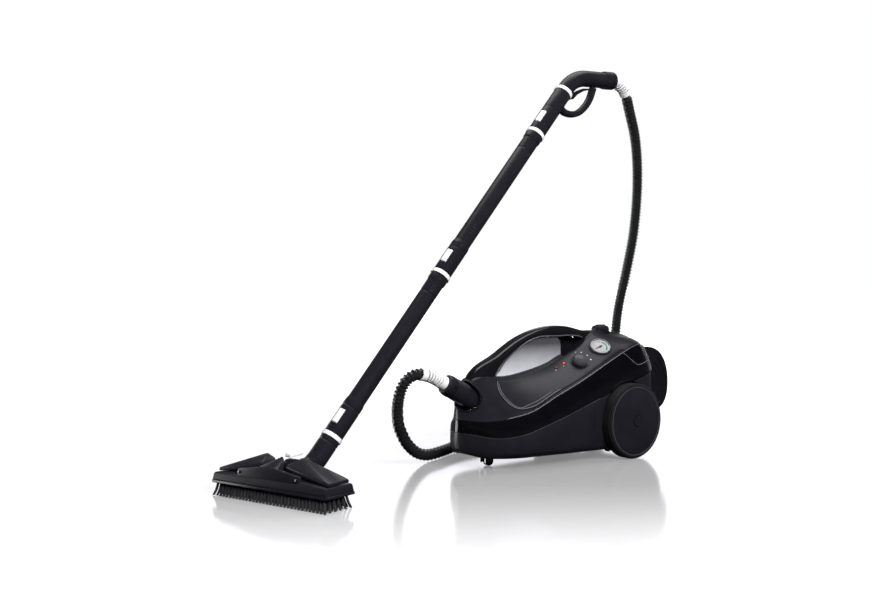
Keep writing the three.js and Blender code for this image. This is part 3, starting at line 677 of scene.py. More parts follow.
def slab(name, outline, low, high, bevel=0.0, place=None, segments=3):
    """A flat piece with the closed outline (u, v) from w = low to w = high, its two rims rounded."""
    work = bmesh.new()
    bottom = [work.verts.new((u, v, low)) for u, v in outline]
    top = [work.verts.new((u, v, high)) for u, v in outline]
    work.faces.new(bottom[::-1])
    work.faces.new(top)
    for k in range(len(outline)):
        n = (k + 1) % len(outline)
        work.faces.new((bottom[k], bottom[n], top[n], top[k]))
    if bevel:
        rims = [e for e in work.edges if abs(e.verts[0].co.z - e.verts[1].co.z) < 1e-9]
        bmesh.ops.bevel(work, geom=rims, offset=bevel, segments=segments, profile=0.5, affect="EDGES",
                        clamp_overlap=True)
    for v in work.verts:
        v.co = at(*(place(*v.co) if place else v.co))
    mesh = bpy.data.meshes.new(name)
    work.to_mesh(mesh)
    work.free()
    return tidy_object(name, mesh)


def stretch_line(x, start, end, count, insets):
    """Points (y, z) at equal steps along the section at x, from one of its side lines to another."""
    c = between_stations(x, lambda curve: curve)[start * SAMPLES:end * SAMPLES + 1]
    s = np.concatenate([[0], np.cumsum(np.hypot(*np.diff(c, axis=0).T))])
    t = np.linspace(insets[0], s[-1] - insets[1], count + 1)
    return [(float(np.interp(v, s, c[:, 0])), float(np.interp(v, s, c[:, 1]))) for v in t]


def skin(name, start, end, x0, x1, count, insets=(0, 0), wall_thickness=3.5, proud=0.0, bevel=0.7):
    """Part of the body's shell between two side lines and two stations, with rounded rims."""
    xs = [x0] + [x for x in STATIONS if x0 + 0.5 < x < x1 - 0.5] + [x1]
    points, faces = [], []
    for side in (1, -1):
        first = len(points)
        for x in xs:
            points += [(x, side * y, z) for y, z in stretch_line(x, start, end, count, insets)]
        row = count + 1
        for i in range(len(xs) - 1):
            for k in range(count):
                a = first + i * row + k
                faces.append((a, a + 1, a + row + 1, a + row))
    obj = mesh_object(name, points, faces)
    thick = obj.modifiers.new("wall", "SOLIDIFY")
    thick.thickness = wall_thickness * MM
    thick.offset = 2 * proud / wall_thickness - 1
    thick.use_even_offset = True
    if bevel:
        rounded = obj.modifiers.new("rims", "BEVEL")
        rounded.width = bevel * MM
        rounded.segments = 2
        rounded.limit_method = "ANGLE"
        rounded.angle_limit = math.radians(60)
    return applied(obj)


def bead(name, path, radius, sides=10):
    """A thin round bar laid along a path, with its ends rounded off; it draws raised lines and painted
    highlights along edges.
    """
    line = evenly(path, 3.0)
    total = path_length(line)
    return swept(name, line, lambda s: radius * math.sqrt(max(min(s, total - s, 2.0) / 2.0, 0.02)), sides)


# ---- camera ----
camera = bpy.data.objects.new("camera", bpy.data.cameras.new("camera"))
scene.collection.objects.link(camera)
scene.camera = camera
CAMERA_TURN = 0.6449
CAMERA_DIP = 0.0203
look = Vector((math.sin(CAMERA_TURN) * math.cos(CAMERA_DIP), math.cos(CAMERA_TURN) * math.cos(CAMERA_DIP),
               -math.sin(CAMERA_DIP)))
camera.location = at(-1877.8, -1848.8, 429.0)
camera.rotation_mode = "QUATERNION"
camera.rotation_quaternion = look.to_track_quat("-Z", "Y")
camera.data.lens = 43.3
camera.data.sensor_width = 36
camera.data.clip_start = 0.05
camera.data.clip_end = 100

# ---- hose, with its plug on the machine and its reliefs ----
plug_axis = Vector((-math.cos(PLUG_TILT), 0, math.sin(PLUG_TILT)))


def along_plug(s):
    return Vector(SOCKET) + plug_axis * s


HOSE_ROUTE = (
    (-514, 0, 217.5), (-529, 1, 220), (-547, 4, 217.5), (-562, 8, 207), (-570, 13, 192), (-573, 20, 171),
    (-570, 30, 147), (-557, 46, 110), (-540, 59, 87), (-520, 72, 65), (-499, 84, 48), (-476, 96, 33.5),
    (-451, 108, 23), (-418, 123, 16), (-361, 148, 14.8), (-287, 187, 14.8), (-205, 211, 14.8),
    (-90, 230, 14.8), (20, 233, 14.8), (105, 225, 15), (168, 204, 21), (206, 180, 46), (226, 162, 100),
    (226, 144, 175), (212, 124, 270), (203, 104, 350), (206, 78, 452), (204, 51, 556), (184, 21, 682),
    (146, -6, 783), (104, -25, 847), (75.4, -38.5, 885.1))
HOSE_PITCH = 8.6
RELIEF_PITCH = 7.6
RELIEF_COLLAR = 11


def make_hose():
    inside_plug = [along_plug(54), along_plug(74), along_plug(92)]
    line = smooth_curve(inside_plug + [Vector(p) for p in HOSE_ROUTE], HOSE_PITCH / 6)
    total = path_length(line)
    low, high = HOSE_RADIUS - 2.0, HOSE_RADIUS + 2.5
    rings = []
    walked = 0.0
    for i, (point, (_, u, v)) in enumerate(zip(line, frames(line))):
        walked += (line[i] - line[i - 1]).length if i else 0
        rib = 0.5 - 0.5 * math.cos(2 * math.pi * walked / HOSE_PITCH)
        turn = math.pi * (int(walked / HOSE_PITCH) % 2)
        ring = []
        for a in round_angles(24):
            r = low + (high - low) * rib * (0.72 + 0.28 * math.cos(8 * a + turn))
            if walked < 58 or walked > total - 5:
                r = HOSE_RADIUS - 3.5
            ring.append(point + (u * math.cos(a) + v * math.sin(a)) * r)
        rings.append(ring)
    hose = loft("steam_hose_ribbed", rings, sharp=60)
    hose.data.materials.append(HOSE)
    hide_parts("steam_hose")
    path = [at(*p) for p in evenly(line, 12.0)]
    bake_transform(hose)
    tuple(path[0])


def make_plug():
    profile = [(0, -58), (22, -58), (25.5, -50), (26.5, -30), (25.6, -12)]
    for k in range(8):
        s = -8 + k * 4.6
        profile += [(25 - 0.1 * k, s), (25 - 0.1 * k, s + 2.4), (23.4, s + 3.0), (23.4, s + 4.0)]
    profile += [(24, 31), (22.4, 33), (22.4, 36), (24.4, 38), (24.2, 48), (22.6, 55), (19.5, 58), (0, 58)]
    body = turned("hose_plug_body", profile, SOCKET, plug_axis, 72, 0.5)
    bore = turned("bore", [(0, 14), (5.5, 14), (5.5, 40), (0, 40)], along_plug(42), (0, -1, 0), 32, 0)
    show(boolean(body, bore), "machine", SATIN, "hose_plug")
    dome = [(0, 17), (5, 17), (5, 23.2), (4.2, 24.2), (0, 24.8)]
    button = turned("plug_release_button", dome, along_plug(42), (0, -1, 0), 32, 0.5)
    show(button, "plug_catch", DARK, "plug_button")
    route = [along_plug(58.3), along_plug(74), along_plug(92), Vector(HOSE_ROUTE[0]), Vector(HOSE_ROUTE[1])]
    relief, groove_shade = ribbed_relief("plug_relief_ribbed", route, 16.2, 14.6)
    show(relief, "machine", WHITE, "plug_strain_relief")
    # the relief's dark core: painted shade in its grooves
    show(groove_shade, "machine", DARK)
    return [body, button, relief, groove_shade]


def ribbed_relief(name, route, start, end):
    """A tapered sleeve with a smooth collar at both ends and deep grooves between, and a dark core inside it
    that shows in the grooves: painted shade in the grooves.
    """
    line = smooth_curve(route, 0.5)
    length = path_length(line)
    grooves = math.floor((length - 2 * RELIEF_COLLAR) / RELIEF_PITCH)

    def radius(s):
        full = lerp(start, end, s / length)
        full = min(full, full - 1.6 + 1.2 * s, full - 1.6 + 1.2 * (length - s))
        phase = (s - RELIEF_COLLAR) / RELIEF_PITCH
        return full - 3.8 if 0 <= phase < grooves and phase % 1 > 0.62 else full
    sleeve = swept(name, line, radius, 32, sharp=35)
    first = RELIEF_COLLAR + 1
    last = first + RELIEF_PITCH * grooves
    groove_shade = [p for k, p in enumerate(line) if first < k * length / (len(line) - 1) < last]
    # the dark core paints shade into the grooves
    groove_shade = swept(name + "_groove_shade", groove_shade, lambda s: lerp(start, end, 0.5) - 2.8, 32)
    return sleeve, groove_shade


plug_pieces = make_plug()
make_hose()


# ---- body ----
def control_outline(margin):
    outer = [(x, 5 - half_width(x) * along(SHOULDER_SHARE, x) - margin)
             for x in (16, -40, -100, -160, -220, -285)]
    front = [(-322 - margin, -82), (-342 - margin, -62), (-346 - margin, -45), (-334, -27 + margin)]
    curve = [tuple(q) for q in smooth_curve(outer + front, 5.0)]
    return [(-21 + margin, -24.5 + margin)] + curve


def cover_outline(margin):
    """The rear cover's plan: a V across the roof in front, then back along the shoulders."""
    def shoulder(x):
        return corner(x, TOP_I)[0]
    meet = next(x for x in np.arange(-20, 60, 0.5) if (x + 32) * 110 / 54 >= shoulder(x))
    xs = list(np.arange(meet, SIDE_END - 0.5, 6.0)) + [SIDE_END - 0.4]
    side = [(x + margin, shoulder(x) - 0.4) for x in xs]
    return [(-32 + margin, 0)] + side + [(x, -y) for x, y in reversed(side)]


def arch(side, radius):
    """The round hollow in the body that a rear wheel turns in."""
    return turned("arch", [(0, 113.5), (radius, 113.5), (radius, 160), (0, 160)], (0, 0, WHEEL_RADIUS),
                  (0, side, 0), 96, 0)


def round_socket(angle, radius, s):
    """A point round the plug's axis, in a bay that widens toward the near side and down."""
    across = Vector((0, -1, 0))
    down = across.cross(plug_axis)
    wide = radius + 13 * max(math.cos(angle - math.radians(60)), 0) ** 2
    return along_plug(s) + (down * math.cos(angle) + across * math.sin(angle)) * wide


def recess_tool():
    return loft("recess", [[round_socket(a, 33, s) for a in round_angles(96)] for s in (-72, 95)], sharp=60)


def make_shell():
    end = SIDE_END - 0.3
    lower = skin("lower_shell_skin", 0, FOOT_I, NOSE_TIP, end, 44, (0, SEAM))
    band = skin("side_band_skin", FOOT_I, TOP_I, NOSE_TIP, end, 26, (SEAM, SEAM), proud=0.4)
    for tag, side in SIDES:
        boolean(lower, arch(side, ARCH_RADIUS))
        boolean(band, arch(side, ARCH_RADIUS))
        seam = slab("seam", [(SEAM_X - 0.5, 22), (SEAM_X + 0.5, 22), (SEAM_X + 0.5, 200), (SEAM_X - 0.5,
                                                                                           200)],
                    122.2, 140, place=lambda u, v, w: (u, side * w, v))
        boolean(lower, seam)
        section = [(9, 110), (97, 110), (97, 121.6), (ARCH_RADIUS, 121.6), (ARCH_RADIUS, 113.5),
                   (9, 113.5), (9, 110)]
        liner = turned("arch_liner", section, (0, 0, WHEEL_RADIUS), (0, side, 0), 96, 0.4)
        boolean(liner, block("below", -120, 120, -160, 160, -20, 21, 0))
        show(liner, "machine", DARK)
        liner.name = f"wheel_arch_liner_{tag}"
    show(lower, "machine", SATIN, "lower_shell")
    show(band, "machine", GLOSS, "side_band")
    deck = skin("upper_deck_skin", TOP_I, MIDDLE_I, NOSE_TIP, end, 40, (SEAM, 0))
    boolean(deck, recess_tool())
    boolean(deck, slab("cover_cut", cover_outline(-0.5), 100, 400))
    boolean(deck, slab("panel_cut", control_outline(0.5), 100, 400))
    show(deck, "machine", SATIN, "upper_deck")
    hole = [(FILLER_X + 19 * math.cos(a), 19 * math.sin(a)) for a in np.linspace(0, 2 * math.pi, 48, False)]
    cover = panel("rear_cover_skin", cover_outline(0.3), roof, (0, 0, 1), [hole], 5.0, 1.0, 3.5, 0.5)
    show(cover, "machine", SATIN, "rear_cover")
    tongue = panel("control_panel_skin", control_outline(-0.2), roof, (0, 0, 1), (), 4.5, 1.1, 3.5, 0.9)
    boolean(tongue, slab("cover_cut", cover_outline(-0.3), 100, 400))
    show(tongue, "machine", SATIN, "control_panel")
    rear = skin("rear_panel_skin", 0, MIDDLE_I, SIDE_END + 0.3, REAR_TIP, 120, (0, 0))
    show(rear, "machine", SATIN, "rear_panel")


def make_trims_and_highlights():
    for tag, side in SIDES:
        # a silver bead along the band's top edge: a painted highlight
        top = [Vector((x, side * (corner(x, TOP_I)[0] + 1.0), corner(x, TOP_I)[1] + 0.9))
               for x in np.arange(-352, 86, 4.0)]
        show(bead(f"band_top_highlight_{tag}", top, 0.9), "machine", HIGHLIGHT_SILVER)
        # a lighter bead along the band's foot: a painted highlight
        foot = [Vector((x, side * (corner(x, FOOT_I)[0] + 0.5), corner(x, FOOT_I)[1]))
                for x in np.arange(-424, 86, 4.0) if not -96 < x < 96]
        show(bead(f"band_foot_highlight_{tag}", foot, 0.5), "machine", KNOB)
        # a silver bead down the band's rear edge: a painted highlight
        rear = [Vector((90.5, side * y, z)) for y, z in stretch_line(90.5, FOOT_I, TOP_I, 24, (0, 0))]
        rear = [p + Vector((0, side * 1.0, 0.6)) for p in rear]
        show(bead(f"band_end_highlight_{tag}", rear, 2.2), "machine", HIGHLIGHT_SILVER)
        low = [wall(side * round_plan(x), corner(x, BASE_I)[1] + 4.5) + Vector((0, side * 0.1, 0))
               for x in np.arange(-395, -160, 6.0)]
        show(bead(f"skirt_line_{tag}", low, 0.7), "machine", SATIN)
        door = [(4, 252), (31, 224), (39, 220.5), (84, 229.5), (86, 262), (40, 254)]
        outline = [(side * round_plan(x), z) for x, z in door]
        hatch = panel(f"side_hatch_{tag}", outline, wall, (0, side, 0.4), (), 5.0, 0.5, 1.5, 0.9)
        show(hatch, "machine", GLOSS)
        edge = [wall(q[0], q[1]) + Vector((0, side * 1.7, 0.5)) for q in smooth_curve(outline[:4], 3.0)]
        show(bead(f"hatch_line_{tag}", edge, 0.55), "machine", GREY)
    # two grey beads round the control panel's front edge: painted highlights
    front = [q for q in control_outline(-2.2) if q[0] < -190]
    rim = [Vector((x, y, roof(x, y).z + 1.7)) for x, y in front]
    show(bead("panel_rim_highlight_outer", rim, 0.75), "machine", GREY)
    inner = [q for q in control_outline(-7.0) if q[0] < -215]
    rim = [Vector((x, y, roof(x, y).z + 1.6)) for x, y in inner]
    show(bead("panel_rim_highlight_inner", rim, 0.6), "machine", GREY)


HANDLE_OUTER = ((-408, 188), (-393, 212), (-371, 230), (-321, 253), (-286, 273), (-251, 291), (-203, 307.5),
                (-154, 316), (-103, 315), (-51, 304), (-14, 297), (-12, 262))
HANDLE_INNER = ((-331, 188), (-315, 219), (-292, 243), (-240, 276), (-197, 289), (-132, 290), (-92, 291),
                (-58, 286), (-50, 278), (-50, 262))

HANDLE_HALF_WIDTH = 19


def make_handle():
    count = 70
    outer = smooth_curve(HANDLE_OUTER, 0.5)
    inner = smooth_curve(HANDLE_INNER, 0.5)
    rings = []
    inner_line = []
    for i in range(count + 1):
        o = outer[round(i / count * (len(outer) - 1))]
        n = inner[round(i / count * (len(inner) - 1))]
        middle = (o + n) / 2
        way = (o - n).normalized()
        rings.append(oblong(Vector((middle.x, 0, middle.y)), Vector((way.x, 0, way.y)), HANDLE_HALF_WIDTH,
                            (o - n).length / 2, 3.4, 40))
        inner_line.append((n, way))
    handle = loft("carry_handle_arch", rings)
    web = slab("web", [(-136, 215), (-136, 286), (-92, 292), (-58, 287), (-46, 280), (-46, 262), (-80,
                                                                                                  232)], 15.3,
               18.9, 0.8, lambda u, v, w: (u, w, v))
    handle = merged("carry_handle_arch", [boolean(handle, recess_tool()), web])
    show(handle, "machine", POLISHED, "carry_handle")
    # silver beads along the inner edge of the hand opening: painted highlights
    for tag, side in SIDES:
        path = [Vector((n.x + w.x * 2.6, side * 18.1, n.y + w.y * 2.6)) for n, w in inner_line[6:66]]
        show(bead(f"handle_highlight_line_{tag}", path, 1.3), "machine", HIGHLIGHT_SILVER)
    top = [(x + 1.5, z - 1.0) for x, z in HANDLE_INNER[:6]]
    outline = [tuple(q) for q in smooth_curve(top, 6.0)] + [(-124, 283), (-119, 272), (-119, 190)]
    inset = slab("inner_panel_crowned", outline, -12, 12, 3.0, lambda u, v, w: (u, w, v), 4)
    show(inset, "machine", PANEL, "inner_panel")


def make_socket():
    """The socket's rim follows the bay's edge, found by rays cast on the body and the handle."""
    rings = []
    for x in np.concatenate([[NOSE_TIP + 0.05], STATIONS[1:-1], [REAR_TIP - 0.05]]):
        c = between_stations(x, lambda curve: curve)[::3]
        rings.append([(x, y, z) for y, z in c] + [(x, -y, z) for y, z in c[::-1]])
    solid = loft("probe", rings)
    handle = bpy.data.objects["carry_handle_arch"]
    trees = [BVHTree.FromObject(piece, bpy.context.evaluated_depsgraph_get()) for piece in (solid, handle)]
    angles = round_angles(96)
    edge = []
    for a in angles:
        best = -62.0
        for tree, reach in ((trees[0], 33.0), (trees[1], 34.0)):
            hit = tree.ray_cast(at(*round_socket(a, reach, 120)), -plug_axis)[0]
            if hit is not None:
                best = max(best, ((hit - ORIGIN) / MM - Vector(SOCKET)).dot(plug_axis))
        edge.append(min(best, 34.0))
    edge = [sum(edge[(k + j) % len(edge)] for j in range(-3, 4)) / 7 for k in range(len(edge))]
    bpy.data.objects.remove(solid)
    rings = []
    for a, s in zip(angles, edge):
        profile = [(32.6, -71), (32.7, s - 2), (34.0, s - 0.5), (34.4, s + 1.2), (33.6, s + 2.4),
                   (32.2, s + 2.7), (30.8, s + 1.8), (30.2, s - 1), (29.4, -69), (29.8, -71)]
        rings.append([round_socket(a, r, h) for r, h in profile])
    rim = loft("hose_socket_rim", rings, True)
    floor = loft("floor", [[round_socket(a, 29.6, h) for a in angles] for h in (-71.3, -66)])
    show(merged("hose_socket_rim", [rim, floor]), "machine", SATIN, "hose_socket")
    crescent = [round_socket(math.radians(a), 31.2, edge[int(a / 3.75)] + 3.2) for a in range(6, 118, 2)]
    line = smooth_curve(crescent, 2.0)
    length = path_length(line)

    def swell(s):
        return 0.7 + 1.7 * math.sin(math.pi * min(max(s / length, 0.03), 0.97))
    latch = swept("socket_latch_ring", line, swell, 16)
    show(latch, "machine", CHROME)


def painted_light_below(material, low, high, gain):
    """Paints light into the material's colour: brighter toward the height `low`, a painted sheen low down and
    painted shade higher up.
    """
    tree = material.node_tree
    shader = tree.nodes["Principled BSDF"]
    color = shader.inputs["Base Color"].links[0].from_socket
    parts = tree.nodes.new("ShaderNodeSeparateXYZ")
    tree.links.new(coordinates(tree), parts.inputs[0])
    scaled = tree.nodes.new("ShaderNodeVectorMath")
    scaled.operation = "SCALE"
    tree.links.new(color, scaled.inputs[0])
    tree.links.new(map_range(tree, parts.outputs["Z"], low * MM, high * MM, gain, 1.0),
                   scaled.inputs["Scale"])
    tree.links.new(scaled.outputs[0], shader.inputs["Base Color"])
    return material


# the inner panel's grey is painted lighter toward its foot: painted light below, painted shade above
PANEL = painted_light_below(make_material("inset_grey", ((0.055, 0.055, 0.06), (0.062, 0.062, 0.067)), 0.45,
                                    0.05, 0.4,
                                    specular=0.25, spread=0.03), 205, 275, 10.0)
KNOB = make_material("knob_black", ((0.05, 0.049, 0.055), (0.06, 0.059, 0.066)), 0.3, 0.15, 0.5, spread=0.04)
POLISHED = make_material("polished_black", ((0.0065, 0.0062, 0.0078), (0.008, 0.0077, 0.0095)), 0.17, 0.04,
                         0.5,
                         coat=0.3, spread=0.03)
make_shell()
make_handle()
make_socket()
make_trims_and_highlights()


# ---- controls on the roof ----
def roof_spot(x, y):
    """The place and outward direction on the roof as the CAD model has them."""
    def height(px, py):
        p = section_points(px)
        marks = [p[7], p[8], p[9]]
        i = 0 if abs(py) > marks[1][0] else 1
        a, b = marks[i], marks[i + 1]
        return lerp(a[1], b[1], (abs(py) - a[0]) / (b[0] - a[0]))
    up = Vector((height(x - 5, y) - height(x + 5, y), height(x, y - 5) - height(x, y + 5), 10)).normalized()
    return Vector((x, y, height(x, y))), up


def on_roof(spot, up):
    turn = Vector((0, 0, 1)).rotation_difference(up)
    return lambda u, v, w: spot + turn @ Vector((u, v, w))


def arc_band(inner, outer, start, end, steps=24):
    angles = [math.radians(lerp(start, end, k / steps)) for k in range(steps + 1)]
    ring = [(outer * math.cos(a), outer * math.sin(a)) for a in angles]
    return ring + [(inner * math.cos(a), inner * math.sin(a)) for a in reversed(angles)]


def make_gauge():
    spot, up = roof_spot(-37, -62)
    place = on_roof(spot, up)
    bezel = turned("gauge_bezel", [(21.4, -6), (25, -6), (25, 3.2), (24.2, 5.6), (22.8, 6.2), (21.4, 5.2),
                                   (21.4, -6)], spot, up, 96, 0.8)
    show(bezel, "machine", CHROME, "pressure_gauge")
    collar = turned("gauge_collar", [(25.2, -6), (28.2, -6), (28.2, 0.8), (27.2, 1.9), (25.2, 2.0), (25.2,
                                                                                                     -6)],
                    spot, up, 96, 0.6)
    show(collar, "machine", SATIN)
    dial = turned("gauge_dial", [(0, 1.6), (21.2, 1.6), (21.2, 2.6), (0, 2.6)], spot, up, 64, 0)
    show(dial, "machine", DIAL)
    show(slab("gauge_green_arc", arc_band(14.0, 17.6, -72, 42), 2.5, 2.85, place=place), "machine", GREEN)
    red_tick = slab("gauge_red_tick", arc_band(13.0, 18.8, 60, 66, 4), 2.5, 2.9, place=place)
    show(red_tick, "machine", RED)
    ticks = [slab("tick", arc_band(15.6 if k % 5 else 14.4, 19.2, a - 0.7, a + 0.7, 2), 2.5, 2.8, place=place)
             for k, a in enumerate(range(-140, 141, 14)) if not -74 < a < 44]
    show(merged("gauge_scale_marks", ticks), "machine", DARK)
    blade = slab("blade", [(-16, -0.5), (-16, 0.5), (-2, 1.8), (6, 1.2), (6, -1.2), (-2, -1.8)], 3.6, 4.4,
                 0.15,
                 place, 2)
    hub = turned("hub", [(0, 3.2), (3.2, 3.2), (3.2, 4.6), (2.4, 5.0), (0, 5.0)], spot, up, 24, 0.3)
    show(merged("gauge_needle_blade", [blade, hub]), "needle", DARK, "gauge_needle")
    glass = turned("gauge_glass", [(0, 5.25), (21.9, 5.25), (21.9, 5.7), (0, 5.95)], spot, up, 64, 0.1)
    show(glass, "machine", LENS)


def fluted(profile, place, count, flutes, depth, power, low, high):
    """A closed dome from (radius, height) points, with flutes round it between two heights."""
    rings = []
    for r, h in profile:
        ring = []
        for a in round_angles(count):
            dent = depth * max(math.cos(flutes * a), 0) ** power if low <= h <= high else 0
            ring.append(place((r - dent) * math.cos(a), (r - dent) * math.sin(a), h))
        rings.append(ring)
    return loft("dome", rings, caps=(True, False))


def make_knob():
    spot, up = roof_spot(-106, -62)
    place = on_roof(spot, up)
    ring = turned("knob_bezel", [(0, 0.2), (23.5, 0.2), (23.5, 1.6), (22.3, 2.6), (20.5, 2.6), (19.8, 1.8),
                                 (0, 1.8)], spot, up, 72, 0.5)
    show(ring, "machine", POLISHED)
    profile = [(17.6, 3.3), (18.4, 4.2), (18.2, 8), (16.9, 12.2), (13.4, 15.7), (7, 17.7), (0.001, 18.3)]
    body = fluted(filleted(profile, 1.5, 5), place, 120, 20, 0.5, 0.7, 4.5, 9.5)
    low = [(x, y, 9) for x in (-18.0, -8) for y in (-1.9, 1.9)]
    high = [(-15.6, -0.9, 15.2), (-15.6, 0.9, 15.2), (-8, -0.9, 18.2), (-8, 0.9, 18.2)]
    grip = carved("grip", low + high, 0.5, 3, move=lambda p: place(*p))
    show(merged("steam_knob_fluted", [body, grip]), "knob", KNOB, "steam_knob")
    marks = []
    for k, a in enumerate((64, 38, 8, -20)):
        c, t = math.cos(math.radians(a)), math.sin(math.radians(a))
        x, y = spot.x + 29 * c, spot.y + 29 * t
        marks.append(turned("dot", [(0, 0.4), (0.9 + 0.25 * k, 0.4), (0.9 + 0.25 * k, 1.35), (0, 1.35)],
                            roof(x, y), up, 20, 0.1))
    show(merged("steam_level_marks", marks), "machine", WHITE)


def make_lamps():
    for i, (x, y, material) in enumerate(((-162, -40, LAMP_OFF), (-139, -42, LAMP_ON))):
        spot, up = roof_spot(x, y)
        lens = turned(f"lamp_lens_{i + 1}", [(0, -3), (3.8, -3), (3.8, 1.6), (2.9, 2.9), (0, 3.5)], spot,
                      up, 32, 0.6)
        show(lens, "machine", material, f"indicator_lamp_{i + 1}")
        ring = turned(f"lamp_ring_{i + 1}", [(3.9, -2), (5.2, -2), (5.2, 1.5), (4.6, 2.0), (3.9, 1.9),
                                             (3.9, -2)],
                      spot, up, 40, 0.3)
        show(ring, "machine", POLISHED)
        dot = roof(x - 6.5, y - 6)
        icon = turned(f"lamp_mark_{i + 1}", [(0, 0.4), (1.0, 0.4), (1.0, 1.3), (0, 1.3)], dot, up, 16, 0.1)
        show(icon, "machine", WHITE)


def make_filler():
    def place(u, v, w):
        return Vector((FILLER_X + u, v, w))
    profile = [(21.0, 299.5), (22, 300.4), (22, 305.4), (19.6, 310.2), (12, 313.2), (0.001, 314)]
    dome = fluted(filleted(profile, 1.2), place, 144, 12, 0.9, 0.5, 300.5, 310)
    foot = [(x, y, 307) for x in (-17.5, 17.5) for y in (-4.6, 4.6)]
    crest = [(x, y, 315) for x in (-14, 14) for y in (-2.6, 2.6)]
    grip = carved("grip", foot + crest, 1.6, 4, move=lambda p: place(*p))
    show(merged("filler_cap_ridged", [dome, grip]), "cap", SATIN, "filler_cap")
    seat = turned("filler_seat", [(18.9, 293), (23.5, 293), (23.5, 298.2), (22.6, 299.1), (18.9, 299.1),
                                  (18.9, 293)],
                  (FILLER_X, 0, 0), (0, 0, 1), 72, 0.5)
    show(seat, "machine", DARK)


make_gauge()
make_knob()
make_lamps()
make_filler()


# ---- rear ----
def flat_bar(name, path, half_y, half_w, power, sides):
    """A bar in an upright plane along (x, z) points, with a rounded oblong section."""
    rings = []
    for i, p in enumerate(path):
        t = (path[min(i + 1, len(path) - 1)] - path[max(i - 1, 0)]).normalized()
        rings.append(oblong(p, Vector((-t.z, 0, t.x)), half_y, half_w, power, sides))
    return loft(name, rings)


def make_rear():
    cheek = [(94, 261), (124, 257.5), (150, 245), (168, 224), (178, 197), (181, 168), (178, 142), (166, 118),
             (146, 104), (112, 98), (96, 98)]
    curve = [tuple(q) for q in smooth_curve(cheek, 5.0)]
    parts = []
    for side in (-1, 1):
        parts.append(slab("cheek", curve, 72, 86, 3.0, lambda u, v, w: (u, side * w, v), 4))
        for inset, thick in ((11, 2.0), (24, 2.0), (36, 1.6)):
            line = [Vector((q[0] - inset * 0.95, side * 86.2, 168 + (q[1] - 168) * (1 - inset / 90)))
                    for q in smooth_curve(cheek[2:9], 4.0)]
            parts.append(bead("arc", line, thick))
    parts.append(block("link", 168, 177.5, -80, 80, 160, 176, 3.5, segments=4))
    show(merged("rear_rails_rounded", parts), "machine", POLISHED, "rear_rails")
    profile = [(0, 0), (11, 0), (11, 3.4), (8.6, 4.6)]
    for k in range(4):
        profile += [(8.4 - 0.3 * k, 5.2 + 3 * k), (8.2 - 0.3 * k, 7.0 + 3 * k), (6.6 - 0.3 * k, 7.4 + 3 * k),
                    (6.6 - 0.3 * k, 8.0 + 3 * k)]
    profile += [(6.6, 17.6), (4.4, 18.0), (4.4, 12.0), (0, 12.0)]
    gland = turned("power_cord_gland_ribbed", profile, (133, 0, 80), (1, 0, 0), 40, 0.25)
    show(gland, "machine", RUBBER, "power_cord_gland")


# ---- wheels ----
def make_wheels():
    for tag, side in SIDES:
        centre = (0, 0, WHEEL_RADIUS)
        axis = (0, side, 0)
        rim = WHEEL_RADIUS
        tread = [(72, WHEEL_INNER), (rim - 4, WHEEL_INNER), (rim - 1, WHEEL_INNER + 1.8), (rim,
                                                                                           WHEEL_INNER + 4)]
        for h in (124.5, 130.5, 136.5):
            tread += [(rim, h - 0.9), (rim - 1.4, h - 0.5), (rim - 1.4, h + 0.5), (rim, h + 0.9)]
        tread += [(rim, 140), (rim - 1.6, 142.9), (72, 142.9), (72, WHEEL_INNER)]
        tyre = turned(f"wheel_tyre_{tag}_grooved", tread, centre, axis, 128, 0.5)
        show(tyre, f"wheel_{tag}", RUBBER, f"wheel_tyre_{tag}")
        face = [(8.3, WHEEL_INNER), (71.6, WHEEL_INNER), (71.6, 143.4), (86.6, 143.4), (87.4, 144.4),
                (86.4, 145.6), (82.5, 146.3), (80.5, 145.2), (79.2, 145.4), (78, 146.6), (60, 149.2),
                (38, 151.0), (15.6, 151.9), (14.6, 150.4), (0, 150.4), (0, 141), (8.3, 141), (8.3,
                                                                                              WHEEL_INNER)]
        disk = turned(f"wheel_disk_{tag}_domed", face, centre, axis, 128, 0.7)
        show(disk, f"wheel_{tag}", SATIN, f"wheel_disk_{tag}")
        section = [(79.6, 145.2), (81.4, 145.2), (81.4, 146.5), (79.6, 146.5), (79.6, 145.2)]
        line = turned(f"wheel_rim_line_{tag}", section, centre, axis, 128, 0.4)
        show(line, f"wheel_{tag}", KNOB)
        hexagon = []
        for k in range(6):
            for j in range(-3, 4):
                a = math.radians(60 * k + 6 * j)
                hexagon.append((13 * math.cos(a), 13 * math.sin(a)))
        turn = Vector((0, 0, 1)).rotation_difference(Vector(axis))
        cap = slab(f"wheel_hub_cap_{tag}", hexagon, 149.6, 152.8, 1.3,
                   lambda u, v, w: Vector(centre) + turn @ Vector((u, v, w)))
        show(cap, f"wheel_{tag}", SATIN)


def make_caster():
    roller = turned("caster_roller_round", [(2.7, -8), (8, -8), (11, -6), (11, 6), (8, 8), (2.7, 8), (2.7,
                                                                                                      -8)],
                    (-337, 0, 11), (0, 1, 0), 48, 1.2)
    show(roller, "caster_roller", RUBBER, "caster_wheel")


make_rear()
make_wheels()
make_caster()

# ---- wand ----
wand_axis = Vector((math.sin(WAND_LEAN), 0, math.cos(WAND_LEAN)))
wand_side = Vector((math.cos(WAND_LEAN), 0, -math.sin(WAND_LEAN)))
GRIP_START = 2 * RING_STEP
GRIP_END = GRIP_START + GRIP_LENGTH


def on_wand(u, v, w):
    return WAND_FOOT + wand_side * u + Vector((0, v, 0)) + wand_axis * w


def wand_turned(name, profile, fillet=0.6, segments=64):
    return turned(name, profile, WAND_FOOT, wand_axis, segments, fillet)


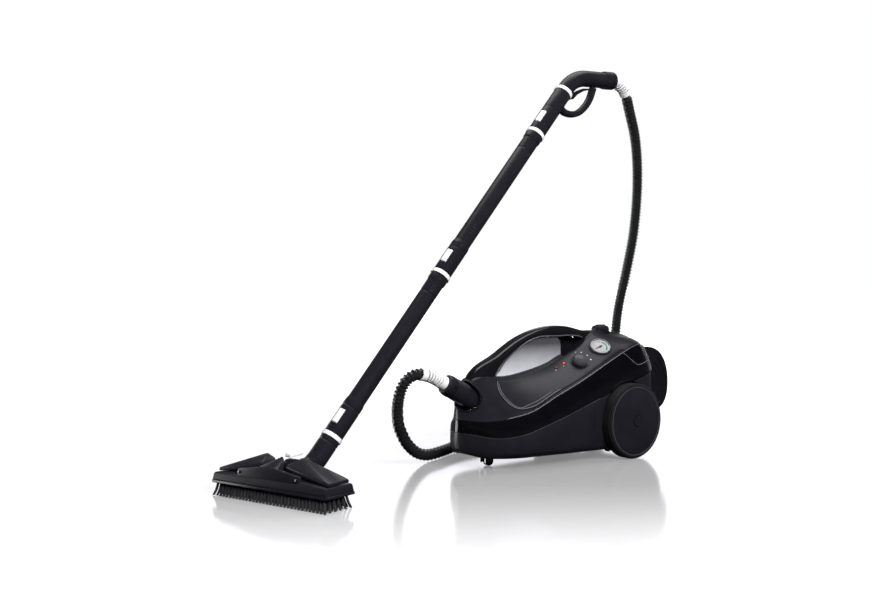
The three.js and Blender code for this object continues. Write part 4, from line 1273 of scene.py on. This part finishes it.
def on_wand_turned(p):
    """A place on the wand for the lock buttons, which sit a little to the near side of the tube's top."""
    c, s = math.cos(BUTTON_TURN), math.sin(BUTTON_TURN)
    return on_wand(p.x * c - p.y * s, p.x * s + p.y * c, p.z)


def cut_pocket(tube, s):
    return boolean(tube, block("pocket", -26, -14.6, -8, 8, s - 17.5, s + 17.5, 1.2, on_wand_turned))


def make_tubes():
    sleeve, bar = SLEEVE_RADIUS, TUBE_RADIUS
    for i, s in enumerate((0, RING_STEP, GRIP_START, GRIP_END)):
        section = [(TUBE_BORE, s - 4.5), (RING_RADIUS, s - 4.5), (RING_RADIUS, s + 4.5), (TUBE_BORE, s + 4.5),
                   (TUBE_BORE, s - 4.5)]
        ring = wand_turned(f"white_ring_{i + 1}_rounded", section, 1.0)
        show(ring, "wand", WHITE, f"white_ring_{i + 1}")
    for i, tag in enumerate(("lower", "upper")):
        low = i * RING_STEP + 4.8
        high = (i + 1) * RING_STEP - 4.8
        profile = [(TUBE_BORE, low), (sleeve, low), (sleeve, low + 62), (sleeve - 0.8, low + 63),
                   (sleeve - 0.8, low + 65), (sleeve, low + 66), (sleeve, low + 78), (bar, low + 86),
                   (bar, high - 52), (bar - 0.7, high - 51), (bar - 0.7, high - 49.5), (bar, high - 48.5),
                   (bar, high - 18), (sleeve, high - 14), (sleeve, high), (TUBE_BORE, high), (TUBE_BORE, low)]
        tube = wand_turned(f"extension_tube_{tag}_sleeved", profile)
        show(cut_pocket(tube, i * RING_STEP + BUTTON_AT), "wand", SATIN, f"extension_tube_{tag}")
    low, high = GRIP_START + 4.8, GRIP_END - 4.8
    profile = [(TUBE_BORE, low), (sleeve, low), (sleeve, low + 70), (sleeve - 0.6, low + 70.6),
               (sleeve - 0.6, low + 71.8), (sleeve, low + 72.4), (sleeve, high), (TUBE_BORE, high),
               (TUBE_BORE, low)]
    grip = wand_turned("grip_tube_grooved", profile, 0.3)
    show(cut_pocket(grip, GRIP_START + BUTTON_AT), "wand", SATIN, "grip_tube")
    for i in range(3):
        s = i * RING_STEP + BUTTON_AT
        foot = [(-18, y, s + z) for y in (-7.1, 7.1) for z in (-17, 17)]
        face = [(-23.4, y, s + z) for y in (-6.2, 6.2) for z in (-15.6, 15.6)]
        key = carved(f"lock_button_{i + 1}_rounded", foot + face, 1.6, 4, move=on_wand_turned)
        show(key, f"tube_button_{i + 1}", WHITE, f"lock_button_{i + 1}")


PIPE_BEND = 90
PIPE_END_RISE = math.radians(3)
COLLAR_X = -9


def pipe_path():
    start = on_wand(0, 0, GRIP_END + 12.5)
    lean = math.pi / 2 - WAND_LEAN
    points = [on_wand(0, 0, GRIP_END + 4.8), start]
    for i in range(1, 13):
        a = lerp(lean, PIPE_END_RISE, i / 12)
        points.append(start + Vector((PIPE_BEND * (math.sin(lean) - math.sin(a)), 0,
                                      PIPE_BEND * (math.cos(a) - math.cos(lean)))))
    last = points[-1]
    points.append(last + Vector((COLLAR_X - last.x, 0, (COLLAR_X - last.x) * math.tan(PIPE_END_RISE))))
    return points


def make_grip():
    path = pipe_path()
    end = path[-1]
    out = Vector((math.cos(PIPE_END_RISE), 0, math.sin(PIPE_END_RISE)))
    pipe = swept("pipe", smooth_curve(path, 3.0), lambda s: TUBE_RADIUS, 48)
    collar = turned("collar", [(0, -2), (20.4, -2), (21.5, -0.6), (21.5, 11), (20.7, 12), (20.7, 14),
                               (21.5, 15),
                               (21.5, 27.5), (20, 30), (0, 30)], end, out, 64, 0.8)
    show(merged("handle_pipe_bent", [pipe, collar]), "wand", SATIN, "handle_pipe")
    y = WAND_FOOT.y
    loop = [(-158, y, 838), (-146, y, 824), (-122, y, 819), (-96, y, 825), (-73, y, 842), (-58, y, 861),
            (-46, y, 888)]
    hoop = flat_bar("finger_loop_rounded", [Vector(q) for q in smooth_curve(loop, 3.0)], 9.5, 7.6, 2.6, 32)
    show(hoop, "wand", SATIN, "finger_loop")
    blade = [(-116, 855), (-104, 868), (-84, 878), (-62, 882), (-60, 886), (-84, 883.5), (-106, 874),
             (-120, 860)]
    trigger = slab("steam_trigger_blade", blade, y - 6.5, y + 6.5, 1.2, lambda u, v, w: (u, w, v))
    show(trigger, "trigger", POLISHED, "steam_trigger")
    start = end + out * 32
    route = [start - out * 2, start + Vector((12, 0, -1)), start + Vector((24, 0.5, -7)), Vector((62,
                                                                                                  y + 1.5,
                                                                                                  899)),
             Vector((74.6, y + 4.6, 886.2))]
    relief, groove_shade = ribbed_relief("handle_relief_ribbed", route, 16.0, 14.8)
    show(relief, "wand", WHITE, "handle_strain_relief")
    # the relief's dark core: painted shade in its grooves
    show(groove_shade, "wand", DARK)


make_tubes()
make_grip()


# ---- floor brush ----
def from_brush(x, y, z):
    c, s = math.cos(BRUSH_YAW), math.sin(BRUSH_YAW)
    return Vector((BRUSH_CENTRE.x + c * x - s * y, BRUSH_CENTRE.y + s * x + c * y, z))


def brush_move(p):
    return from_brush(p.x, p.y, p.z)


def brush_way(x, y):
    """A level step in the brush's own directions."""
    return from_brush(x, y, 0) - from_brush(0, 0, 0)


def make_neck():
    hinge = from_brush(NECK_REACH, 0, NECK_HEIGHT)
    section = [(5.3, -16.4), (14.4, -16.4), (14.4, 16.4), (5.3, 16.4), (5.3, -16.4)]
    barrel = turned("barrel", section, hinge, brush_way(0, 1), 48, 1.0)
    arm = [hinge + brush_way(14, 0), Vector((-850, -45.2, 61)), Vector((-833, -43.8, 63)),
           Vector((-818, -43.5, 71)), WAND_FOOT - wand_axis * 38]
    line = smooth_curve(arm, 2.0)
    total = path_length(line)
    tube = swept("arm", line, lambda s: lerp(14.2, 19.0, smoothstep(s, total * 0.12, total * 0.7)), 40)
    sleeve = wand_turned("sleeve", [(0, -68), (12, -68), (18.2, -64), (20.8, -56), (20.8, -17), (20.1, -16),
                                    (20.1, -14), (20.8, -13), (20.8, -4.8), (0, -4.8)], 1.0)
    show(merged("neck_socket_shaped", [barrel, tube, sleeve]), "wand", SATIN, "neck_socket")


BRUSH_TOP = ((40, 152, 31), (38, 149, 46), (34, 30, 55))


def both_ways(points):
    """The points with their copies mirrored along and across the brush."""
    return [(sx * x, sy * y, z) for x, y, z in points for sx in (-1, 1) for sy in (-1, 1)]


def make_brush():
    wide, long = BRUSH_HALF_WIDTH, BRUSH_HALF_LENGTH
    flange = [(-wide, 6 - long), (4 - wide, -long), (wide - 4, -long), (wide, 6 - long), (wide, long - 6),
              (wide - 4, long), (4 - wide, long), (-wide, long - 6)]
    plate = slab("flange", flange, 26, 31.5, 1.2, from_brush)
    top = carved("top", both_ways(BRUSH_TOP), 2.6, 4, move=brush_move)
    bay = slab("bay", [(-24, -26), (60, -54), (60, 54), (-24, 26)], 40, 90, place=from_brush)
    boolean(top, bay)
    show(merged("brush_body_moulded", [plate, top]), "head", SATIN, "brush_body")
    corners = [(20, 68.6), (80, 60.5), (83, 44), (20, 48)]
    points = [(x, side * y, z) for y, z in corners for x in (-37.5, -28) for side in (-1, 1)]
    face = carved("face", points, 1.3, 3, move=brush_move)
    wedge = [(-37, 26, 58), (-37, 26, 69), (-12, 14, 77), (2, 8, 76), (-14, 20, 62)]
    hull = [(x, side * y, z) for x, y, z in wedge for side in (-1, 1)] + [(5, 0, 86)]
    peak = carved("peak", hull, 1.2, 3, move=brush_move)
    ribs = []
    for k in range(9):
        t = (k + 0.5) / 9
        a, b = Vector((-36.6, 0, 69)).lerp(Vector((4, 0, 85.6)), t), lerp(24, 3, t)
        ribs.append(carved("rib", [(a.x + dx, s * b * 0.8, a.z + dz) for dx in (-0.7, 0.7) for s in (-1, 1)
                                   for dz in (-2.0, 0.7)], 0.3, 2, move=brush_move))
    show(merged("brush_fascia_moulded", [face, peak] + ribs), "head", SATIN, "brush_fascia")
    screws = []
    for y in (-76, 76):
        profile = [(0, -2), (3.3, -2), (3.3, 0.9), (2.6, 1.6), (0, 1.9)]
        screw = turned("screw", profile, from_brush(-37.4, y, 54), brush_way(-1, 0), 32, 0.4)
        slot = block("slot", -41, -38.3, y - 0.5, y + 0.5, 51, 57, 0, brush_move)
        screws.append(boolean(screw, slot))
    show(merged("fascia_screws", screws), "head", STEEL)


WING = ((-20, 30, 62), (-20, 30, 74), (-27, 146, 47.5), (-27, 146, 54), (32, 146, 47.5), (32, 146, 54),
        (12, 48, 88), (32, 44, 62), (30, 45, 76))


def make_wings():
    for tag, side in (("left", 1), ("right", -1)):
        points = [(x, side * y, z) for x, y, z in WING]
        wing = carved(f"wing_clamp_{tag}_moulded", points, 2.2, 4, move=brush_move)
        show(wing, f"clamp_{tag}", SATIN, f"wing_clamp_{tag}")


def make_swivel():
    profile = [(0, 40.3), (21, 40.3), (21, 45.8), (20, 47), (0, 47)]
    disc = turned("disc", profile, from_brush(0, 0, 0), (0, 0, 1), 64, 0.8)
    foot = block("foot", 0, 43, -21, 21, 40.3, 46, 1.0, brush_move)
    cheeks = []
    for side in (-1, 1):
        outline = [(22, 40.3), (53, 40.3), (53, 62), (50, 70), (44, 74.6), (34, 75), (26, 70), (22, 60)]
        cheeks.append(slab("cheek", outline, 17, 21, 1.0, lambda u, v, w: from_brush(u, side * w, v)))
    profile = [(0, -22.6), (5, -22.6), (5, 22.6), (0, 22.6)]
    pin = turned("pin", profile, from_brush(NECK_REACH, 0, NECK_HEIGHT), brush_way(0, 1), 32, 1.0)
    show(merged("swivel_base_shaped", [disc, foot, *cheeks, pin]), "elbow", SATIN, "swivel_base")
    tongue = [(18, -6.4), (20, -8), (51, -8), (54, -6), (54, 6), (51, 8), (20, 8), (18, 6.4)]
    lever = slab("lever", tongue, 83, 90.5, 1.8, from_brush)
    barrel = turned("barrel", [(0, -7), (3, -7), (3, 7), (0, 7)], from_brush(21, 0, 85), brush_way(0, 1),
                    24, 0.4)
    show(merged("neck_lock_lever_rounded", [lever, barrel]), "lever", WHITE, "neck_lock_lever")


def make_bristles():
    points, faces = [], []
    rows, columns, strands = 6, 33, 15
    for j in range(columns):
        for i in range(rows):
            u = -31.4 + 11.8 * i
            v = -141 + 282 * j / (columns - 1)
            for k in range(strands):
                a = 2.4 * k
                r = 2.3 * math.sqrt((k + 0.5) / strands)
                du, dv = r * math.cos(a), r * math.sin(a)
                spread = random.uniform(0.95, 1.15)
                tip_u = u * 1.22 + du * spread + random.uniform(-0.5, 0.5)
                tip_v = v * 1.05 + dv * spread + random.uniform(-0.5, 0.5)
                tip_z = random.uniform(0.05, 1.1)
                first = len(points)
                for t, thick in ((0, 0.72), (0.6, 0.72), (1, 0.5)):
                    bow = t ** 1.5
                    cu, cv = lerp(u + du, tip_u, bow), lerp(v + dv, tip_v, bow)
                    cz = lerp(26.6, tip_z, t)
                    for m in range(3):
                        b = 2 * math.pi * m / 3 + a
                        points.append(from_brush(cu + thick * math.cos(b), cv + thick * math.sin(b), cz))
                for q in (0, 3):
                    for m in range(3):
                        n = (m + 1) % 3
                        faces.append((first + q + m, first + q + n, first + q + 3 + n, first + q + 3 + m))
                faces.append((first + 2, first + 1, first))
                faces.append((first + 6, first + 7, first + 8))
    tufts = mesh_object("bristle_tufts", points, faces, sharp=80)
    show(tufts, "head", BRISTLE, "bristle_block")


make_neck()
make_brush()
make_wings()
make_swivel()
make_bristles()

# ---- the CAD pieces that show as they are ----
CAD_FINISHES = {
    "boiler": STEEL, "boiler_cradle": STEEL, "rear_axle": STEEL, "caster_fork": STEEL, "heating_plate": ALLOY,
    "thermostat": BRASS, "safety_valve": BRASS, "solenoid_valve": BRASS, "steam_pipe": BRASS,
    "filler_neck": BRASS,
    "filler_cap_thread": BRASS, "control_board": BOARD,
}
for node_name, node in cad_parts.items():
    if node_name in CAD_FINISHES:
        node.data.materials.clear()
        node.data.materials.append(CAD_FINISHES[node_name])


# ---- floor and light ----
FLOOR_DROP = 0.0004
FLOOR_REACH = 40
TOWARD_CAMERA = (-0.6, -0.8, 0.0)


def toward(tree, position, direction):
    """How far the socket `position` lies along `direction`."""
    node = tree.nodes.new("ShaderNodeVectorMath")
    node.operation = "DOT_PRODUCT"
    node.inputs[1].default_value = direction
    tree.links.new(position, node.inputs[0])
    return node.outputs["Value"]


def make_floor():
    """A white floor that mirrors the object in a band round it and shines brighter further out."""
    material = make_material("floor_white", ((0.76, 0.76, 0.77), (0.78, 0.78, 0.79)), 0.12, spread=0.01)
    shader = material.node_tree.nodes["Principled BSDF"]
    tree = material.node_tree
    shader.inputs["Emission Color"].default_value = (1, 1, 1, 1)
    place = coordinates(tree)
    far = tree.nodes.new("ShaderNodeVectorMath")
    far.operation = "LENGTH"
    tree.links.new(place, far.inputs[0])
    glow = map_range(tree, far.outputs["Value"], 0.7, 2.2, 0.2, 1.0, smooth=True)
    tree.links.new(glow, shader.inputs["Emission Strength"])
    level = map_range(tree, toward(tree, place, TOWARD_CAMERA), -1.0, 1.0)
    mirror = color_ramp(tree, level, (0.1, grey(0)), (0.93, grey(0)), (0.3, grey(0.62)), (0.53, grey(0.62)))
    mirror.color_ramp.interpolation = "EASE"
    tree.links.new(mirror.outputs["Color"], shader.inputs["Metallic"])
    mesh = bpy.data.meshes.new("floor")
    corners = [(sx * FLOOR_REACH, sy * FLOOR_REACH, -FLOOR_DROP) for sx, sy in ((-1, -1), (1, -1), (1, 1),
                                                                                (-1, 1))]
    mesh.from_pydata(corners, [], [(0, 1, 2, 3)])
    mesh.materials.append(material)
    floor = bpy.data.objects.new("floor", mesh)
    floor.visible_glossy = False
    floor.visible_diffuse = False
    scene.collection.objects.link(floor)


def soft_light(name, place, aim_at, width, height, power):
    data = bpy.data.lights.new(name, "AREA")
    data.shape = "RECTANGLE"
    data.size = width
    data.size_y = height
    data.energy = power
    light = bpy.data.objects.new(name, data)
    scene.collection.objects.link(light)
    light.location = place
    light.rotation_euler = (Vector(aim_at) - Vector(place)).to_track_quat("-Z", "Y").to_euler()
    return light


def make_world():
    """White where the camera looks past the object; other rays see a bright backdrop above the horizon."""
    world = bpy.data.worlds.new("studio")
    scene.world = world
    world.use_nodes = True
    tree = world.node_tree
    tree.nodes.clear()
    out = tree.nodes.new("ShaderNodeOutputWorld")
    seen = add_node(tree, "ShaderNodeBackground", Color=(1, 1, 1, 1), Strength=1.0)
    light = add_node(tree, "ShaderNodeBackground", Color=(0.95, 0.95, 1.0, 1))
    place = coordinates(tree, "Generated")
    level = map_range(tree, toward(tree, place, (0.6, 0.8, 0.0)), 0.45, 0.92, 0.05, 1.0, smooth=True)
    parts = tree.nodes.new("ShaderNodeSeparateXYZ")
    tree.links.new(place, parts.inputs[0])
    window = color_ramp(tree, parts.outputs["Z"], (0.0, grey(0.08)), (0.42, grey(0.08)), (0.05, grey(1)),
                        (0.3, grey(1)))
    both = tree.nodes.new("ShaderNodeMath")
    both.operation = "MULTIPLY"
    tree.links.new(level, both.inputs[0])
    tree.links.new(window.outputs["Color"], both.inputs[1])
    tree.links.new(both.outputs[0], light.inputs["Strength"])
    rays = tree.nodes.new("ShaderNodeLightPath")
    mix = tree.nodes.new("ShaderNodeMixShader")
    tree.links.new(rays.outputs["Is Camera Ray"], mix.inputs[0])
    tree.links.new(light.outputs[0], mix.inputs[1])
    tree.links.new(seen.outputs[0], mix.inputs[2])
    tree.links.new(mix.outputs[0], out.inputs["Surface"])


def make_lights():
    """Soft boxes round the object; three of them light it without showing in its gloss."""
    soft_light("nose", (-1.25, 1.9, 0.1), (0, 0, 0.1), 1.6, 1.2, 24)
    soft_light("top", (0.5, 0.4, 2.6), (0.2, 0, 0.2), 2.4, 1.6, 26)
    unseen = [soft_light("key", (-2.4, -2.2, 2.4), (-0.1, 0, 0.3), 0.9, 0.9, 60),
              soft_light("front", (-0.6, -3.4, 2.0), (0.2, 0, 0.3), 2.4, 1.0, 180),
              soft_light("right", (3.0, -0.9, 1.4), (0.2, 0, 0.3), 0.8, 1.8, 50)]
    for light in unseen:
        light.visible_glossy = False


make_floor()
make_world()
make_lights()
scene.view_settings.view_transform = "Standard"
